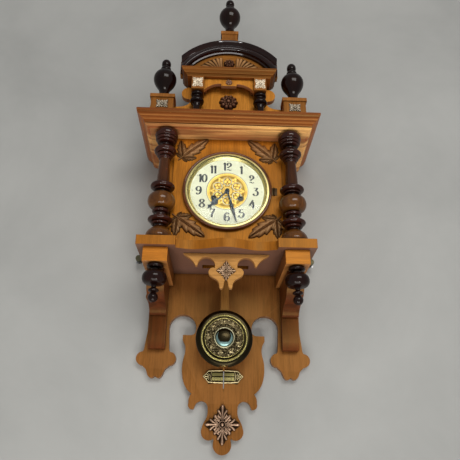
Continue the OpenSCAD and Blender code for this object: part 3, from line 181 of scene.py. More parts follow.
# %% Ramps, blends and noise
def ramp(tree, value, low, high, start=(0, 0, 0), end=(1, 1, 1)):
    """Turns a value into a colour that runs from start to end between low and high."""
    made = add(tree, "ShaderNodeValToRGB", {"Fac": value})
    first, last = made.color_ramp.elements
    first.position, last.position = low, high
    first.color, last.color = colour(start), colour(end)
    return made.outputs["Color"]


def blend_colours(tree, share, a, b, how="MIX"):
    """Mixes two colours, each a socket or a fixed colour."""
    mixed = add(tree, "ShaderNodeMix", data_type="RGBA", blend_type=how)
    for index, value in ((0, share), (6, a), (7, b)):
        if isinstance(value, bpy.types.NodeSocket):
            tree.links.new(value, mixed.inputs[index])
        else:
            mixed.inputs[index].default_value = value
    return mixed.outputs[2]


def noise(tree, where, scale, detail=4.0, roughness=0.55, distortion=0.0):
    """Cloudy values between 0 and 1 on the object's own coordinates."""
    made = add(tree, "ShaderNodeTexNoise", {"Vector": where, "Scale": scale, "Detail": detail,
                                            "Roughness": roughness, "Distortion": distortion})
    return made.outputs["Fac"]


def stretched(tree, scale=(1, 1, 1)):
    """The object's coordinates, stretched so that a pattern runs along one direction."""
    where = add(tree, "ShaderNodeTexCoord").outputs["Object"]
    return add(tree, "ShaderNodeMapping", {"Vector": where, "Scale": scale}).outputs["Vector"]


def spread(tree, value, low, high):
    """A value from 0 to 1, spread over the range from low to high."""
    return add(tree, "ShaderNodeMapRange", {"Value": value, "To Min": low, "To Max": high}).outputs["Result"]


# %% New materials, wear, soiling, and painted light and shade
def new_material(name):
    """An empty material with its shader, and the tree that both live in."""
    made = bpy.data.materials.new(name)
    made.use_nodes = True
    tree = made.node_tree
    return made, tree, tree.nodes["Principled BSDF"]


def part_clear(tree, shader, share):
    """Lets rays straight through the shader where the share is 1."""
    clear = add(tree, "ShaderNodeBsdfTransparent")
    mixed = add(tree, "ShaderNodeMixShader", {0: share, 1: shader.outputs[0], 2: clear.outputs[0]})
    tree.links.new(mixed.outputs[0], tree.nodes["Material Output"].inputs["Surface"])


# The woods use this to colour faces by the way they look: painted light below, painted shade at the sides.
def facing(tree, part, low, high):
    """1 where the surface's direction, read along x, y or z, is at low, and 0 where it reaches high."""
    direction = add(tree, "ShaderNodeNewGeometry").outputs["True Normal"]
    along = add(tree, "ShaderNodeSeparateXYZ", {"Vector": direction}).outputs[part]
    size = add(tree, "ShaderNodeMath", {0: along}, operation="ABSOLUTE").outputs[0] if part == "X" else along
    return add(tree, "ShaderNodeMapRange", {"Value": size, "From Min": low, "From Max": high, "To Min": 1.0,
                                            "To Max": 0.0}).outputs["Result"]


def relief(tree, low, high):
    """0 in the cut ground of a carving and 1 on its proud parts, from the height kept with each point."""
    height = add(tree, "ShaderNodeAttribute", attribute_name="relief").outputs["Fac"]
    return ramp(tree, height, low, high)


def soiled(tree, tone, grime_and_shade_tone, reach, share, low, high):
    """The tone darkened in corners and deep in carving, where less of the open is seen within reach: soiling
    and painted shade.
    """
    open_air = add(tree, "ShaderNodeAmbientOcclusion", {"Distance": reach * MM}, samples=6).outputs["AO"]
    kept = spread(tree, ramp(tree, open_air, low, high), 1 - share, 1.0)
    return blend_colours(tree, kept, colour(grime_and_shade_tone), tone)


def tinted(tree, tone, share, value, low, high, start, end=(1, 1, 1)):
    """The tone multiplied with a colour that runs from start to end, as strongly as the share says."""
    return blend_colours(tree, share, tone, ramp(tree, value, low, high, start, end), "MULTIPLY")


def fix(shader, **values):
    """Sets fixed values on a shader: a name's words are joined by underscores."""
    for name, value in values.items():
        shader.inputs[name.replace("_", " ")].default_value = value


def raise_bump(tree, shader, value, strength, height):
    """Bends the light over fine relief of the given height in millimetres."""
    made = add(tree, "ShaderNodeBump", {"Height": value, "Strength": strength, "Distance": height * MM})
    tree.links.new(made.outputs["Normal"], shader.inputs["Normal"])


# %% [markdown]
# ## Wood
#
# The case is a honey-coloured wood with fine straight grain under an old shellac polish. A board's grain
# runs along its length, so the pattern is the same noise stretched along one axis: broad bands for the
# growth rings, fine lines for the pores, and slow clouds for the way that old polish darkens unevenly.
# Pictures of wood could be laid on the boards, but each board would need its own UV map, and noise in
# Object coordinates runs round every edge without a seam.
#
# Corners are darkened by ambient occlusion, partly as soiling and partly as painted shade, and edges wear
# pale. Polished fibres throw back a golden light rather than a white one, which the specular tint gives. A
# wood may name another colour for faces that look down: on the shelf it is the stain of an underside never
# polished, on the crest unpolished wood with painted light, on the rails and the cornice painted light from
# below, and on the apron a duller tone. A colour for faces that look sideways is painted shade.

# %% Wood finishes
ALONG = {"x": (0.05, 1, 1), "z": (1, 1, 0.05)}
# The colour that corners and cuts are darkened towards: soiling, and painted shade.
GRIME_AND_SHADE = (0.012, 0.005, 0.002)
FIBRE_GLOW = (1.0, 0.60, 0.18)


def wood(name, pale, deep, along, rings=70.0, contrast=0.6, wear=0.15, gloss=0.31, coat=0.0, grime_and_shade=0.75,
         under=None, side=None, light=None, streak=0.8, reach=9.0):
    """Polished wood whose grain runs along x or z. Colours are given as a picture stores them."""
    pale, deep = shade(*pale), shade(*deep)
    made, tree, shader = new_material(name)
    grain = stretched(tree, ALONG[along])
    bands = noise(tree, grain, rings, 3.0, 0.5, 0.8)
    lines = noise(tree, grain, rings * 9, 5.0, 0.7)
    pores = noise(tree, grain, rings * 22, 2.0, 0.6)
    clouds = noise(tree, stretched(tree), 7.0, 3.0, 0.5)
    tone = ramp(tree, bands, 0.5 - contrast / 2, 0.5 + contrast / 2, deep, pale)
    if light:
        lighter = ramp(tree, bands, 0.2, 0.8, shade(*light[1]), shade(*light[0]))
        tone = blend_colours(tree, relief(tree, 0.1, 0.9), tone, lighter)
    # Faces that look down take the under colour and faces that look sideways the side colour: painted light
    # from below and painted shade at the sides, and on the shelf and the crest also unpolished wood.
    for share, painted_facing in ((under, ("Z", -0.9, -0.5)), (side, ("X", 0.9, 0.5))):
        if share:
            tone = blend_colours(tree, facing(tree, *painted_facing), tone, colour(shade(*share)))
    tone = tinted(tree, tone, streak, lines, 0.36, 0.62, (0.62, 0.58, 0.55), (1.12, 1.12, 1.12))
    tone = tinted(tree, tone, 0.6, pores, 0.30, 0.42, (0.45, 0.40, 0.36))
    tone = tinted(tree, tone, 0.7, clouds, 0.3, 0.7, (0.70, 0.62, 0.54), (1.16, 1.14, 1.10))
    edge = ramp(tree, add(tree, "ShaderNodeNewGeometry").outputs["Pointiness"], 0.505, 0.56)
    rim = add(tree, "ShaderNodeMath", {0: edge, 1: wear}, operation="MULTIPLY").outputs[0]
    tone = blend_colours(tree, rim, tone, colour([min(1, 1.5 * c + 0.02) for c in pale]))
    # Ambient occlusion darkens the corners: partly soiling and partly painted shade.
    tree.links.new(soiled(tree, tone, GRIME_AND_SHADE, reach, grime_and_shade, 0.25, 0.85), shader.inputs["Base Color"])
    tree.links.new(spread(tree, lines, gloss, gloss + 0.2), shader.inputs["Roughness"])
    fix(shader, Specular_Tint=colour(FIBRE_GLOW), Specular_IOR_Level=0.5 if coat < 0.3 else 0.05,
        Coat_Weight=coat, Coat_Roughness=0.05)
    raise_bump(tree, shader, lines, 0.35, 0.12)
    return made


honey_up = wood("honey_wood_upright", (212, 132, 36), (146, 82, 16), "z")
# Paler than the case's honey wood: partly its own tone and partly painted light. Its pinkish colour on faces
# that look down is unpolished wood and painted light from below.
honey_crest_lit = wood("honey_wood_crest_lit", (246, 162, 62), (184, 112, 34), "z", under=(190, 140, 112))
block_wood = wood("crest_block_wood", (172, 108, 46), (112, 66, 26), "z")
tympanum_wood = wood("tympanum_wood", (176, 114, 46), (120, 72, 24), "x")
# Its faces that look down take painted light, and its faces that look sideways painted shade.
light_edge = wood("light_honey_wood", (206, 128, 40), (158, 88, 20), "x", under=(176, 120, 70),
                  side=(96, 50, 22))
# A reach of 30 mm lets ambient occlusion lay painted shade on the back wall of the slot in the shelf.
# Its under colour is the stain of its unpolished underside.
shelf_wood = wood("shelf_wood", (172, 104, 26), (122, 69, 14), "z", under=(112, 84, 76), reach=30.0,
                  grime_and_shade=0.85)
# Its faces that look sideways take painted shade.
moulding_wood = wood("crest_moulding_wood", (150, 84, 27), (82, 43, 13), "x", side=(64, 30, 18))
tail_wood = wood("backboard_wood", (152, 98, 48), (106, 62, 24), "z", rings=60.0)
# The cornice's underside: pale pine, made paler still with painted light from below.
soffit_wood_lit = wood("cornice_pine_lit", (255, 192, 118), (168, 88, 50), "x", rings=40.0, contrast=0.16, streak=0.8,
                   grime_and_shade=0.5)
# Its faces that look down take a paler colour: painted light from below.
cornice_wood = wood("cornice_red", (136, 66, 17), (52, 22, 8), "x", rings=60.0, wear=0.30, gloss=0.26,
                    under=(170, 100, 50))
bracket_wood = wood("bracket_wood", (108, 50, 20), (54, 22, 9), "z", gloss=0.26)
# Its faces that look down take a duller colour.
apron_wood = wood("apron_wood", (212, 156, 90), (160, 108, 52), "x", under=(160, 112, 70))
rod_wood = wood("pendulum_rod_wood", (160, 112, 56), (110, 70, 28), "z")
turned_red = wood("turned_red", (66, 24, 12), (22, 8, 5), "z", rings=45.0, gloss=0.20, coat=0.6, grime_and_shade=0.95,
                  light=((128, 80, 28), (62, 33, 10)))
turned_black = wood("turned_black", (34, 11, 9), (11, 5, 5), "z", rings=45.0, wear=0.03, gloss=0.25, coat=0.4)
arch_black = wood("arch_black", (44, 12, 12), (14, 6, 6), "x", wear=0.05, gloss=0.25, coat=0.7)
ring_black = wood("door_ring_wood", (130, 74, 36), (48, 24, 13), "x", wear=0.1, gloss=0.22, coat=0.8)
print("woods:", len([m for m in bpy.data.materials if "wood" in m.name or "turned" in m.name]))


# %% [markdown]
# ## Carved wood
#
# The leaves, rosettes and palm sprays are carved from darker wood. A carving reads from afar when its cuts
# are dark and its proud parts pale. Here the cut ground is partly soiling and old stain and partly painted
# shade, and the ridges are partly rubbed pale and partly painted highlight. Ambient occlusion, which tells
# how shut in a point is, could darken the cuts alone, but it is soft on relief this small. So each carved
# piece also keeps the height of every point as an attribute, and this finish runs from a dark ground to
# pale ridges by that height.

# %% Carved finishes
def carved(name, ground, middle, proud, along="z"):
    """Carved wood, a little grained: three colours from the cut ground to the ridges, partly painted shade
    and highlight.
    """
    made, tree, shader = new_material(name)
    lines = noise(tree, stretched(tree, ALONG[along]), 500.0, 4.0, 0.7)
    clouds = noise(tree, stretched(tree), 60.0, 3.0, 0.6)
    # Dark cut ground to pale ridges by height: partly soiling and wear, partly painted shade and highlight.
    tone = blend_colours(tree, relief(tree, 0.05, 0.45), colour(shade(*ground)), colour(shade(*middle)))
    tone = blend_colours(tree, relief(tree, 0.50, 0.95), tone, colour(shade(*proud)))
    tone = tinted(tree, tone, 0.6, lines, 0.36, 0.62, (0.66, 0.62, 0.58), (1.1, 1.1, 1.1))
    tone = tinted(tree, tone, 0.6, clouds, 0.3, 0.7, (0.70, 0.64, 0.58), (1.2, 1.2, 1.2))
    # Ambient occlusion darkens the cuts too: partly soiling and partly painted shade.
    tree.links.new(soiled(tree, tone, GRIME_AND_SHADE, 4.0, 1.0, 0.2, 0.8), shader.inputs["Base Color"])
    fix(shader, Roughness=0.34, Specular_Tint=colour(FIBRE_GLOW), Coat_Weight=0.15, Coat_Roughness=0.2)
    raise_bump(tree, shader, lines, 0.4, 0.12)
    return made


# Each runs from a ground colour, soiling and painted shade, through a middle colour to a proud colour, wear
# and painted highlight.
leaf_wood = carved("carved_leaf_wood", (22, 11, 5), (90, 56, 29), (150, 105, 66))
rosette_wood = carved("carved_rosette_wood", (26, 13, 9), (78, 46, 34), (150, 106, 84))
rosette_pale = carved("pale_rosette_wood", (96, 64, 48), (148, 108, 86), (196, 156, 134))
palm_wood = carved("carved_palm_wood", (36, 20, 8), (112, 74, 38), (184, 134, 84), "x")
print("with carved wood:", len(bpy.data.materials), "materials")

# %% [markdown]
# ## Metals, paint and glass
#
# Brass keeps its colour where hands and cloths reach it and goes brown in the hollows, and its corners are
# darkened with painted shade as well. One plain metallic colour would look like new plate, so a metal here
# runs between a bright tone and a dull one. Pressed brass ornaments are the same metal, darker by their own
# height: tarnish left in the hollows, and painted shade there. The dial is enamel-like paint, the numerals
# are printed black, and the hands are blued steel gone dull.


# %% Metal finishes
def metal(name, bright, dull, roughness=0.25, patches=35.0, dulled=0.5, grime_and_shade=0.8, reach=2.5, pressed=False):
    """Worn metal, dull in clouds, dark in hollows with soiling and painted shade; pressed metal darkens by
    height too.
    """
    bright, dull = shade(*bright), shade(*dull)
    made, tree, shader = new_material(name)
    plain = stretched(tree)
    clouds = noise(tree, plain, patches, 5.0, 0.6, 0.4)
    fine = noise(tree, plain, 900.0, 3.0, 0.7)
    share = add(tree, "ShaderNodeMath", {0: ramp(tree, clouds, 0.38, 0.68), 1: dulled}, operation="MULTIPLY")
    tone = blend_colours(tree, share.outputs[0], colour(bright), colour(dull))
    # Low parts of pressed metal go nearly black: tarnish in the hollows, and painted shade.
    if pressed:
        tone = blend_colours(tree, relief(tree, 0.15, 0.75), colour([0.16 * c for c in dull]), tone)
    # Ambient occlusion darkens corners and hollows: partly soiling, partly painted shade.
    tone = soiled(tree, tone, [0.12 * c for c in dull], reach, grime_and_shade, 0.30, 0.90)
    tree.links.new(tone, shader.inputs["Base Color"])
    tree.links.new(spread(tree, clouds, roughness, roughness + 0.22), shader.inputs["Roughness"])
    fix(shader, Metallic=1.0)
    raise_bump(tree, shader, fine, 0.25, 0.04)
    return made


brass = metal("brass", (226, 198, 124), (172, 140, 88), 0.22)
bezel_brass = metal("bezel_brass", (234, 216, 146), (190, 170, 104), 0.26, 25.0, 0.45)
gilt_press = metal("pressed_gilt", (244, 206, 112), (214, 160, 74), 0.46, 60.0, 0.5, 0.75, 1.2, True)
pale_press = metal("pale_pressed_brass", (255, 240, 214), (226, 196, 158), 0.40, 120.0, 0.4, 0.7, 2.0, True)
bronze_cast = metal("cast_bronze", (200, 166, 138), (112, 84, 62), 0.34, 120.0, 0.6, 0.85, 4.0, True)
# A paler copy of the cast bronze for the apron's lozenge: painted light.
bronze_cast_lit = metal("cast_bronze_lit", (228, 194, 158), (156, 120, 88), 0.38, 120.0, 0.6, 0.8, 4.0, True)
hinge_bronze = metal("hinge_bronze", (70, 54, 36), (40, 30, 20), 0.34, 60.0, 0.6)
# The rim's own dark bronze, darkened further with painted shade for the dark room that its polish reflects.
bob_rim_shaded = metal("bob_rim_brass_shaded", (58, 50, 33), (20, 18, 10), 0.20, 22.0, 0.6, 0.85, 4.0)
bob_press = metal("bob_pressed_brass", (248, 228, 172), (142, 122, 82), 0.32, 80.0, 0.6, 0.9, 2.0, True)
bob_gold = metal("bob_gold_rings", (208, 194, 120), (112, 106, 70), 0.20, 60.0, 0.6, 0.8, 1.5)
bob_pale = metal("bob_pale_ring", (178, 172, 138), (112, 106, 82), 0.24, 60.0, 0.5, 0.8, 1.5)
# The boss's blue-grey is partly its own steel and partly painted reflection of blue daylight.
bob_boss = metal("bob_boss_steel_and_reflection", (158, 192, 184), (100, 134, 136), 0.26, 50.0, 0.6, 0.5, 4.0)
steel = metal("steel", (186, 186, 184), (128, 122, 116), 0.32, 40.0, 0.5)
dark_steel = metal("dark_steel", (92, 92, 88), (52, 50, 46), 0.40, 40.0, 0.5)
blued = metal("dull_blued_steel", (66, 70, 74), (44, 42, 40), 0.35, 60.0, 0.5)
knob_metal = metal("wall_screw_metal", (84, 80, 60), (44, 40, 30), 0.40, 60.0, 0.6)
print("with metals:", len(bpy.data.materials), "materials")


# %% Paint, print and glass
def paint(name, tone, aged, roughness, speckle=0.35):
    """Smooth paint with faint clouds of age and a few fine specks."""
    made, tree, shader = new_material(name)
    plain = stretched(tree)
    clouds = noise(tree, plain, 30.0, 4.0, 0.6)
    specks = noise(tree, plain, 700.0, 2.0, 0.5)
    mixed = blend_colours(tree, ramp(tree, clouds, 0.35, 0.75), colour(tone), colour(aged))
    mixed = tinted(tree, mixed, speckle, specks, 0.26, 0.34, (0.7, 0.66, 0.58))
    tree.links.new(mixed, shader.inputs["Base Color"])
    fix(shader, Roughness=roughness)
    raise_bump(tree, shader, clouds, 0.1, 0.05)
    return made


dial_paint = paint("dial_cream", shade(218, 214, 186), shade(202, 197, 166), 0.60)
print_black = paint("dial_print", shade(30, 31, 34), shade(48, 47, 44), 0.45, 0.0)


def clear_glass(name):
    """Flat glass: it reflects like glass and lets light and shadow rays straight through."""
    made, tree, shader = new_material(name)
    fix(shader, Base_Color=colour((0.93, 0.97, 0.95)), Transmission_Weight=1.0, IOR=1.18)
    ripple = noise(tree, stretched(tree), 14.0, 2.0, 0.5)
    tree.links.new(spread(tree, ripple, 0.0, 0.03), shader.inputs["Roughness"])
    part_clear(tree, shader, add(tree, "ShaderNodeLightPath").outputs["Is Shadow Ray"])
    return made


door_glass = clear_glass("door_glass_clear")
print("with paint and glass:", len(bpy.data.materials), "materials")

# %% [markdown]
# ## Floor and light
#
# The clock lies on a pale floor, so the floor is the plane of the wall, just behind the backboard. Seen
# from behind it would hide the clock, so its back is left clear. The surround is an even pale grey that
# every ray sees alike. A picture of a room could light the clock too, but lamps are set one by one: a
# broad soft one hangs over the case, a weaker one shines up from beyond its lower end, and two small ones
# stand low there and give the polished turnings their pair of small highlights.


# %% Floor and lamps
def floor_material():
    """Pale grey floor with a faint cloud, clear when it is seen from behind."""
    made, tree, shader = new_material("floor_pale")
    plain = stretched(tree)
    clouds = noise(tree, plain, 2.2, 6.0, 0.6, 0.3)
    tone = ramp(tree, clouds, 0.25, 0.75, shade(158, 157, 152), shade(184, 183, 177))
    tree.links.new(tone, shader.inputs["Base Color"])
    fix(shader, Roughness=0.7)
    part_clear(tree, shader, add(tree, "ShaderNodeNewGeometry").outputs["Backfacing"])
    return made


FLOOR_HALF = 4.0
FLOOR_BACK = 0.0012
floor_mesh = bpy.data.meshes.new("floor")
corners = [(x * FLOOR_HALF, FLOOR_BACK, z * FLOOR_HALF) for x, z in ((-1, -1), (1, -1), (1, 1), (-1, 1))]
floor_mesh.from_pydata(corners, [], [(0, 1, 2, 3)])
floor_mesh.materials.append(floor_material())
put("floor", floor_mesh)


AIM = place(0, 60, 420)


def lamp(name, x, d, h, size, power, wide=1.0):
    """A lamp that faces a point on the clock's middle line. It is as many times wider than high as asked."""
    light = bpy.data.lights.new(name, "AREA")
    light.shape = "RECTANGLE"
    light.size, light.size_y, light.energy = size * wide, size, power
    made = put(name, light)
    made.location = place(x, d, h)
    made.rotation_euler = (Vector(AIM) - made.location).to_track_quat("-Z", "Y").to_euler()


lamp("lamp_above", 560, 2600, 1250, 0.9, 32.0, 1.9)
lamp("lamp_below", 100, 900, -1500, 1.2, 15.0)
lamp("lamp_low_left", -520, 1000, -1000, 0.16, 2.6)
lamp("lamp_low_right", 480, 1000, -1000, 0.16, 2.6)
surround = bpy.data.worlds.new("surround")
surround.use_nodes = True
bpy.context.scene.world = surround
fix(surround.node_tree.nodes["Background"], Color=colour((0.97, 0.98, 1.0)), Strength=0.35)

# %% [markdown]
# ## Making pieces
#
# A carved or pressed piece could be sculpted, but a surface worked out by a formula is exact in size and
# can be tuned number by number. It is a closed grid: rows run along the piece, and columns run once round
# it. `make_piece` joins any number of such grids into one mesh, closes their ends, and points the faces
# outwards. It can also keep each point's height above the ground as an attribute, for the carved
# finishes.


# %% Piece helpers
def grid_faces(rows, columns, first, closed):
    """The faces of a grid whose columns close on themselves, and two end faces unless its rows close too."""
    index = first + np.arange(rows * columns).reshape(rows, columns)
    across = np.roll(index, -1, axis=1)
    quads = np.stack([index[:-1], across[:-1], across[1:], index[1:]], axis=-1).reshape(-1, 4)
    ends = [] if closed else [index[0][::-1].tolist(), index[-1].tolist()]
    return quads.tolist() + ends


def soften(mesh, angle):
    """Shades the mesh smooth, and keeps sharp each edge that turns by more than the angle."""
    work = bmesh.new()
    work.from_mesh(mesh)
    bmesh.ops.remove_doubles(work, verts=work.verts, dist=0.002 * MM)
    bmesh.ops.dissolve_degenerate(work, edges=work.edges, dist=0.001 * MM)
    bmesh.ops.recalc_face_normals(work, faces=work.faces)
    limit = math.radians(angle)
    for face in work.faces:
        face.smooth = True
    for edge in work.edges:
        edge.smooth = not edge.is_manifold or edge.calc_face_angle(0.0) < limit
    work.to_mesh(mesh)
    work.free()


def keep_relief(mesh, share):
    """Keeps a number from 0 to 1 with each point, which the finishes read as the height of a carving."""
    mesh.attributes.new("relief", "FLOAT", "POINT").data.foreach_set("value", share.astype(np.float32))


def show(name, mesh, body, finish, stands_for=()):
    """Puts a finished mesh in the scene with its material, its body and the nodes that it stands for."""
    mesh.materials.clear()
    mesh.materials.append(finish)
    made = put(name, mesh)
    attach(made, body)
    if stands_for:
        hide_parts(*stands_for)
    return made


def make_piece(name, grids, body, finish, stands_for=(), angle=40.0, heights=None):
    """One piece from closed grids of points. Heights are the depths that count as 0 and 1 in its relief."""
    points, faces, count = [], [], 0
    for grid in grids:
        rows, columns = grid.shape[:2]
        points.append(grid.reshape(-1, 3))
        faces += grid_faces(rows, columns, count, np.allclose(grid[0], grid[-1]))
        count += rows * columns
    mesh = bpy.data.meshes.new(name)
    points = np.concatenate(points)
    mesh.from_pydata(points.tolist(), [], faces)
    if heights:
        keep_relief(mesh, np.clip((-points[:, 1] / MM - heights[0]) / (heights[1] - heights[0]), 0, 1))
    soften(mesh, angle)
    show(name, mesh, body, finish, stands_for)
    print(name, "faces:", len(mesh.polygons))


# %% [markdown]
# ## Boards and turnings from the frame
#
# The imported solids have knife-sharp edges. On the real case every edge is broken with sandpaper and has
# worn round since. The boards could be built anew with round edges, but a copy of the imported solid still
# fits its neighbours: its loose triangles are joined, and a Bevel modifier rounds its edges by half a
# millimetre or so. Turned pieces only need smooth shading. The columns' foot, ball and shaft are lighter
# than their rings: PALE_BANDS gives the lowest and highest point of each above the foot, and how far it
# is lightened.


# %% Dressed copies
def dressed(node, finish, body="case", edge=0.0, angle=32.0):
    """A joined copy of a node that stands for it, with edges rounded by a width in millimetres."""
    mesh = nodes[node].data.copy()
    mesh.name = node + "_dressed"
    soften(mesh, angle)
    made = show(node + "_dressed", mesh, body, finish, [node])
    if edge > 0:
        rounding = made.modifiers.new("worn_edges", "BEVEL")
        rounding.width = edge * MM
        rounding.segments = 2
        rounding.limit_method = "ANGLE"
        rounding.angle_limit = math.radians(angle)
        rounding.harden_normals = True
        rounding.use_clamp_overlap = True
    return made


def finish_node(node, finish):
    """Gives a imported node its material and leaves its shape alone."""
    nodes[node].data.materials.clear()
    nodes[node].data.materials.append(finish)


# %% Curves and turnings
def through(points, steps=8):
    """A smooth curve through the points: each stretch is a cubic that leans on its neighbours."""
    p = np.asarray(points, float)
    padded = np.concatenate([[2 * p[0] - p[1]], p, [2 * p[-1] - p[-2]]])
    t = np.linspace(0, 1, steps, endpoint=False)[None, :, None]
    a, b, c, d = (padded[i:len(p) - 1 + i][:, None, :] for i in range(4))
    curve = (2 * a - 5 * b + 4 * c - d) * t ** 2 + (3 * b - a - 3 * c + d) * t ** 3
    curve = 0.5 * (2 * b + (c - a) * t + curve)
    return np.concatenate([curve.reshape(-1, 2), p[-1:]])


def circle(count):
    """Angles once round, as one row."""
    return np.linspace(0, 2 * np.pi, count, endpoint=False)[None, :]


def turned(centre_x, axis_d, base_h, profile, columns=64):
    """A turning about an upright axis: each row is a circle at one (radius, height) of the profile."""
    radius, height = np.asarray(profile, float).T[:, :, None]
    turn = circle(columns)
    return place(centre_x + radius * np.cos(turn), axis_d + radius * np.sin(turn), base_h + height + 0 * turn)


def turned_out(centre_h, profile, columns=160):
    """A ring turned about an axis that points out of the wall, from a closed profile of (radius, d)."""
    radius, depth = np.asarray([*profile, profile[0]], float).T[:, :, None]
    turn = circle(columns)
    return place(radius * np.cos(turn), depth + 0 * turn, centre_h + radius * np.sin(turn))


# %% Finishes of boards and turnings
BOARDS = {"backboard": (tail_wood, 1.0), "case_sides": (honey_up, 0.6), "front_stiles": (honey_up, 0.6),
          "front_panel": (honey_up, 0.5), "bottom_shelf": (shelf_wood, 0.8),
          "shelf_rails": (light_edge, 0.8), "scroll_brackets": (bracket_wood, 0.8),
          "apron": (apron_wood, 0.7), "crest_panel": (honey_crest_lit, 0.8), "frieze_board": (honey_crest_lit, 0.6),
          "tympanum_board": (tympanum_wood, 0.5), "crest_blocks": (block_wood, 0.7)}
for board, (finish, edge) in BOARDS.items():
    dressed(board, finish, edge=edge)
for moulding, finish in (("cornice_lower", soffit_wood_lit), ("cornice_upper", cornice_wood),
                         ("crest_moulding", moulding_wood), ("arch_moulding", arch_black)):
    dressed(moulding, finish, edge=0.35)
column_mesh = dressed("columns", turned_red, angle=50.0).data
dressed("pendant_drops", turned_black, angle=50.0)
dressed("colonnettes", turned_black, angle=50.0)
PALE_BANDS = ((-1, 24.5, 0.8), (63, 93, 1.0), (117, 168, 0.35))
up = np.empty(3 * len(column_mesh.vertices))
column_mesh.vertices.foreach_get("co", up)
up = (up[2::3] - tip_z) / MM - sides("columns")[4]
keep_relief(column_mesh, sum(share * ((up > low) & (up < high)) for low, high, share in PALE_BANDS))
dressed("door_bezel", bezel_brass, "door", angle=50.0)
for screw in ("wall_screw_left", "wall_screw_right"):
    dressed(screw, knob_metal, screw, 0.8)
dressed("pendulum_rod", rod_wood, "pendulum", 0.5)

# %% [markdown]
# ## Finials and the door's ring
#
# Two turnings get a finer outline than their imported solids. The finials swell like a pear: widest in
# their upper third, with a collar and a round knob. The wooden ring round the glass is a full round
# moulding, and a brass cone under the glass leads from the bezel down to the dial. A Screw modifier could
# turn such profiles too. Here each row of a grid is a circle at one point of the profile, so that
# `make_piece` closes a turning and points it outwards like every other piece.

# %% Finer turnings
FINIAL = [(0, 0), (12.6, 0), (13.0, 2.5), (11.4, 5.5), (10.4, 9), (10.2, 14), (10.8, 19), (12.4, 24),
          (15.2, 29), (18.7, 34.5), (21.8, 40.5), (23.8, 46.5), (24.5, 52), (24.1, 57), (22.4, 62),
          (19.4, 66.5), (15.2, 70), (10.8, 72.2), (8.7, 73), (9.8, 74), (11.3, 76.4), (11.5, 79),
          (10.8, 82.4), (9.2, 84.8), (7.2, 86.2), (7.0, 87.4), (8.6, 89), (9.8, 92.2), (10.0, 96), (9.3, 100),
          (7.3, 103.6), (4.0, 105.8), (0, 106.4)]
FINIAL_FEET = ((-PLINTH_X, 682.0), (PLINTH_X, 682.0), (0, 875.0))
finial_d = (sides("finials")[2] + sides("finials")[3]) / 2
finials = [turned(x, finial_d, h, through(FINIAL, 3)) for x, h in FINIAL_FEET]
make_piece("finials_turned", finials, "case", turned_black, ["finials"], angle=50.0)
RING = [(80.4, 118.4), (81.4, 118.4), (81.6, 119.8), (82.6, 121.2), (84.0, 122.2), (84.9, 123.2),
        (84.9, 124.2), (84.2, 125.2), (82.8, 125.8), (81.4, 125.6), (80.4, 124.8)]
make_piece("door_ring_turned", [turned_out(dial_h, RING)], "door", ring_black, ["door_ring"], angle=50.0)
CONE = [(75.8, 121.8), (75.0, 121.8), (70.8, 117.1), (72.2, 117.1)]
make_piece("bezel_cone", [turned_out(dial_h, CONE)], "door", bezel_brass)

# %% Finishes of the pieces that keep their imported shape
PLAIN = {door_glass: ["door_glass"], dial_paint: ["dial"], blued: ["hour_hand", "minute_hand"],
         hinge_bronze: ["hinge_case_leaf", "hinge_door_leaf"], bob_press: ["beat_scale"],
         steel: ["wall_fittings", "movement_bracket", "gong", "anchor", "going_click", "strike_click"],
         dark_steel: ["going_winding_arbor", "strike_winding_arbor"],
         brass: ["front_plate", "back_plate", "going_barrel", "strike_barrel", "intermediate_wheel",
                 "third_wheel", "escape_wheel", "minute_wheel", "strike_pin_wheel", "strike_fly", "hammer",
                 "rating_nut", "door_catch"]}
for finish, names in PLAIN.items():
    for node in names:
        finish_node(node, finish)
print("nodes that keep their packed shape:", sum(len(names) for names in PLAIN.values()))

# %% [markdown]
# ## The pressed bob
#
# The bob is thin brass pressed into rings: a polished rim, darkened with painted shade for the dark room it
# reflects, a milled ring like rope, a dark groove, a gold wire, a band of flowers and scrolls, a pale bead,
# and a smooth steel-blue boss whose blue is partly painted reflection. A picture could displace a flat disc,
# but a formula sets the flowers evenly round it and needs no picture.
# over a polar grid: rows run outwards, columns run round, and the height is a sum of round buds and of
# scrolls that wave between them.

# %% Bob
BOB_FACE = bob_front - 7.0
BOB_BACK = BOB_FACE - 1.5


def disc_grid(centre_x, centre_h, inner, outer, front, back, rows=40, columns=180):
    """A ring or disc: its front height is a function of radius and angle, and its back is flat."""
    radius = np.linspace(inner, outer, rows)[:, None]
    turn = circle(columns)
    top = place(centre_x + radius * np.cos(turn), front(radius, turn), centre_h + radius * np.sin(turn))
    under = radius[[-1, 0]]
    under = place(centre_x + under * np.cos(turn), back + 0 * under * turn, centre_h + under * np.sin(turn))
    return np.concatenate([top, under, top[:1]])


def ridge(value, centre, width):
    """1 where the value is at the centre, falling away smoothly to both sides of it."""
    return np.exp(-((value - centre) / width) ** 2)


def half_round(share):
    """The height of half a circle over a share of its radius from -1 to 1."""
    return np.sqrt(np.maximum(1 - share ** 2, 0))


def buds(radius, turn, ring, count, size, shift=0.0):
    """Round swellings of the given size, spaced evenly round a ring."""
    step = 2 * np.pi / count
    aside = (np.mod(turn - shift + step / 2, step) - step / 2) * ring
    return np.exp(-((radius - ring) ** 2 + aside ** 2) / size ** 2)


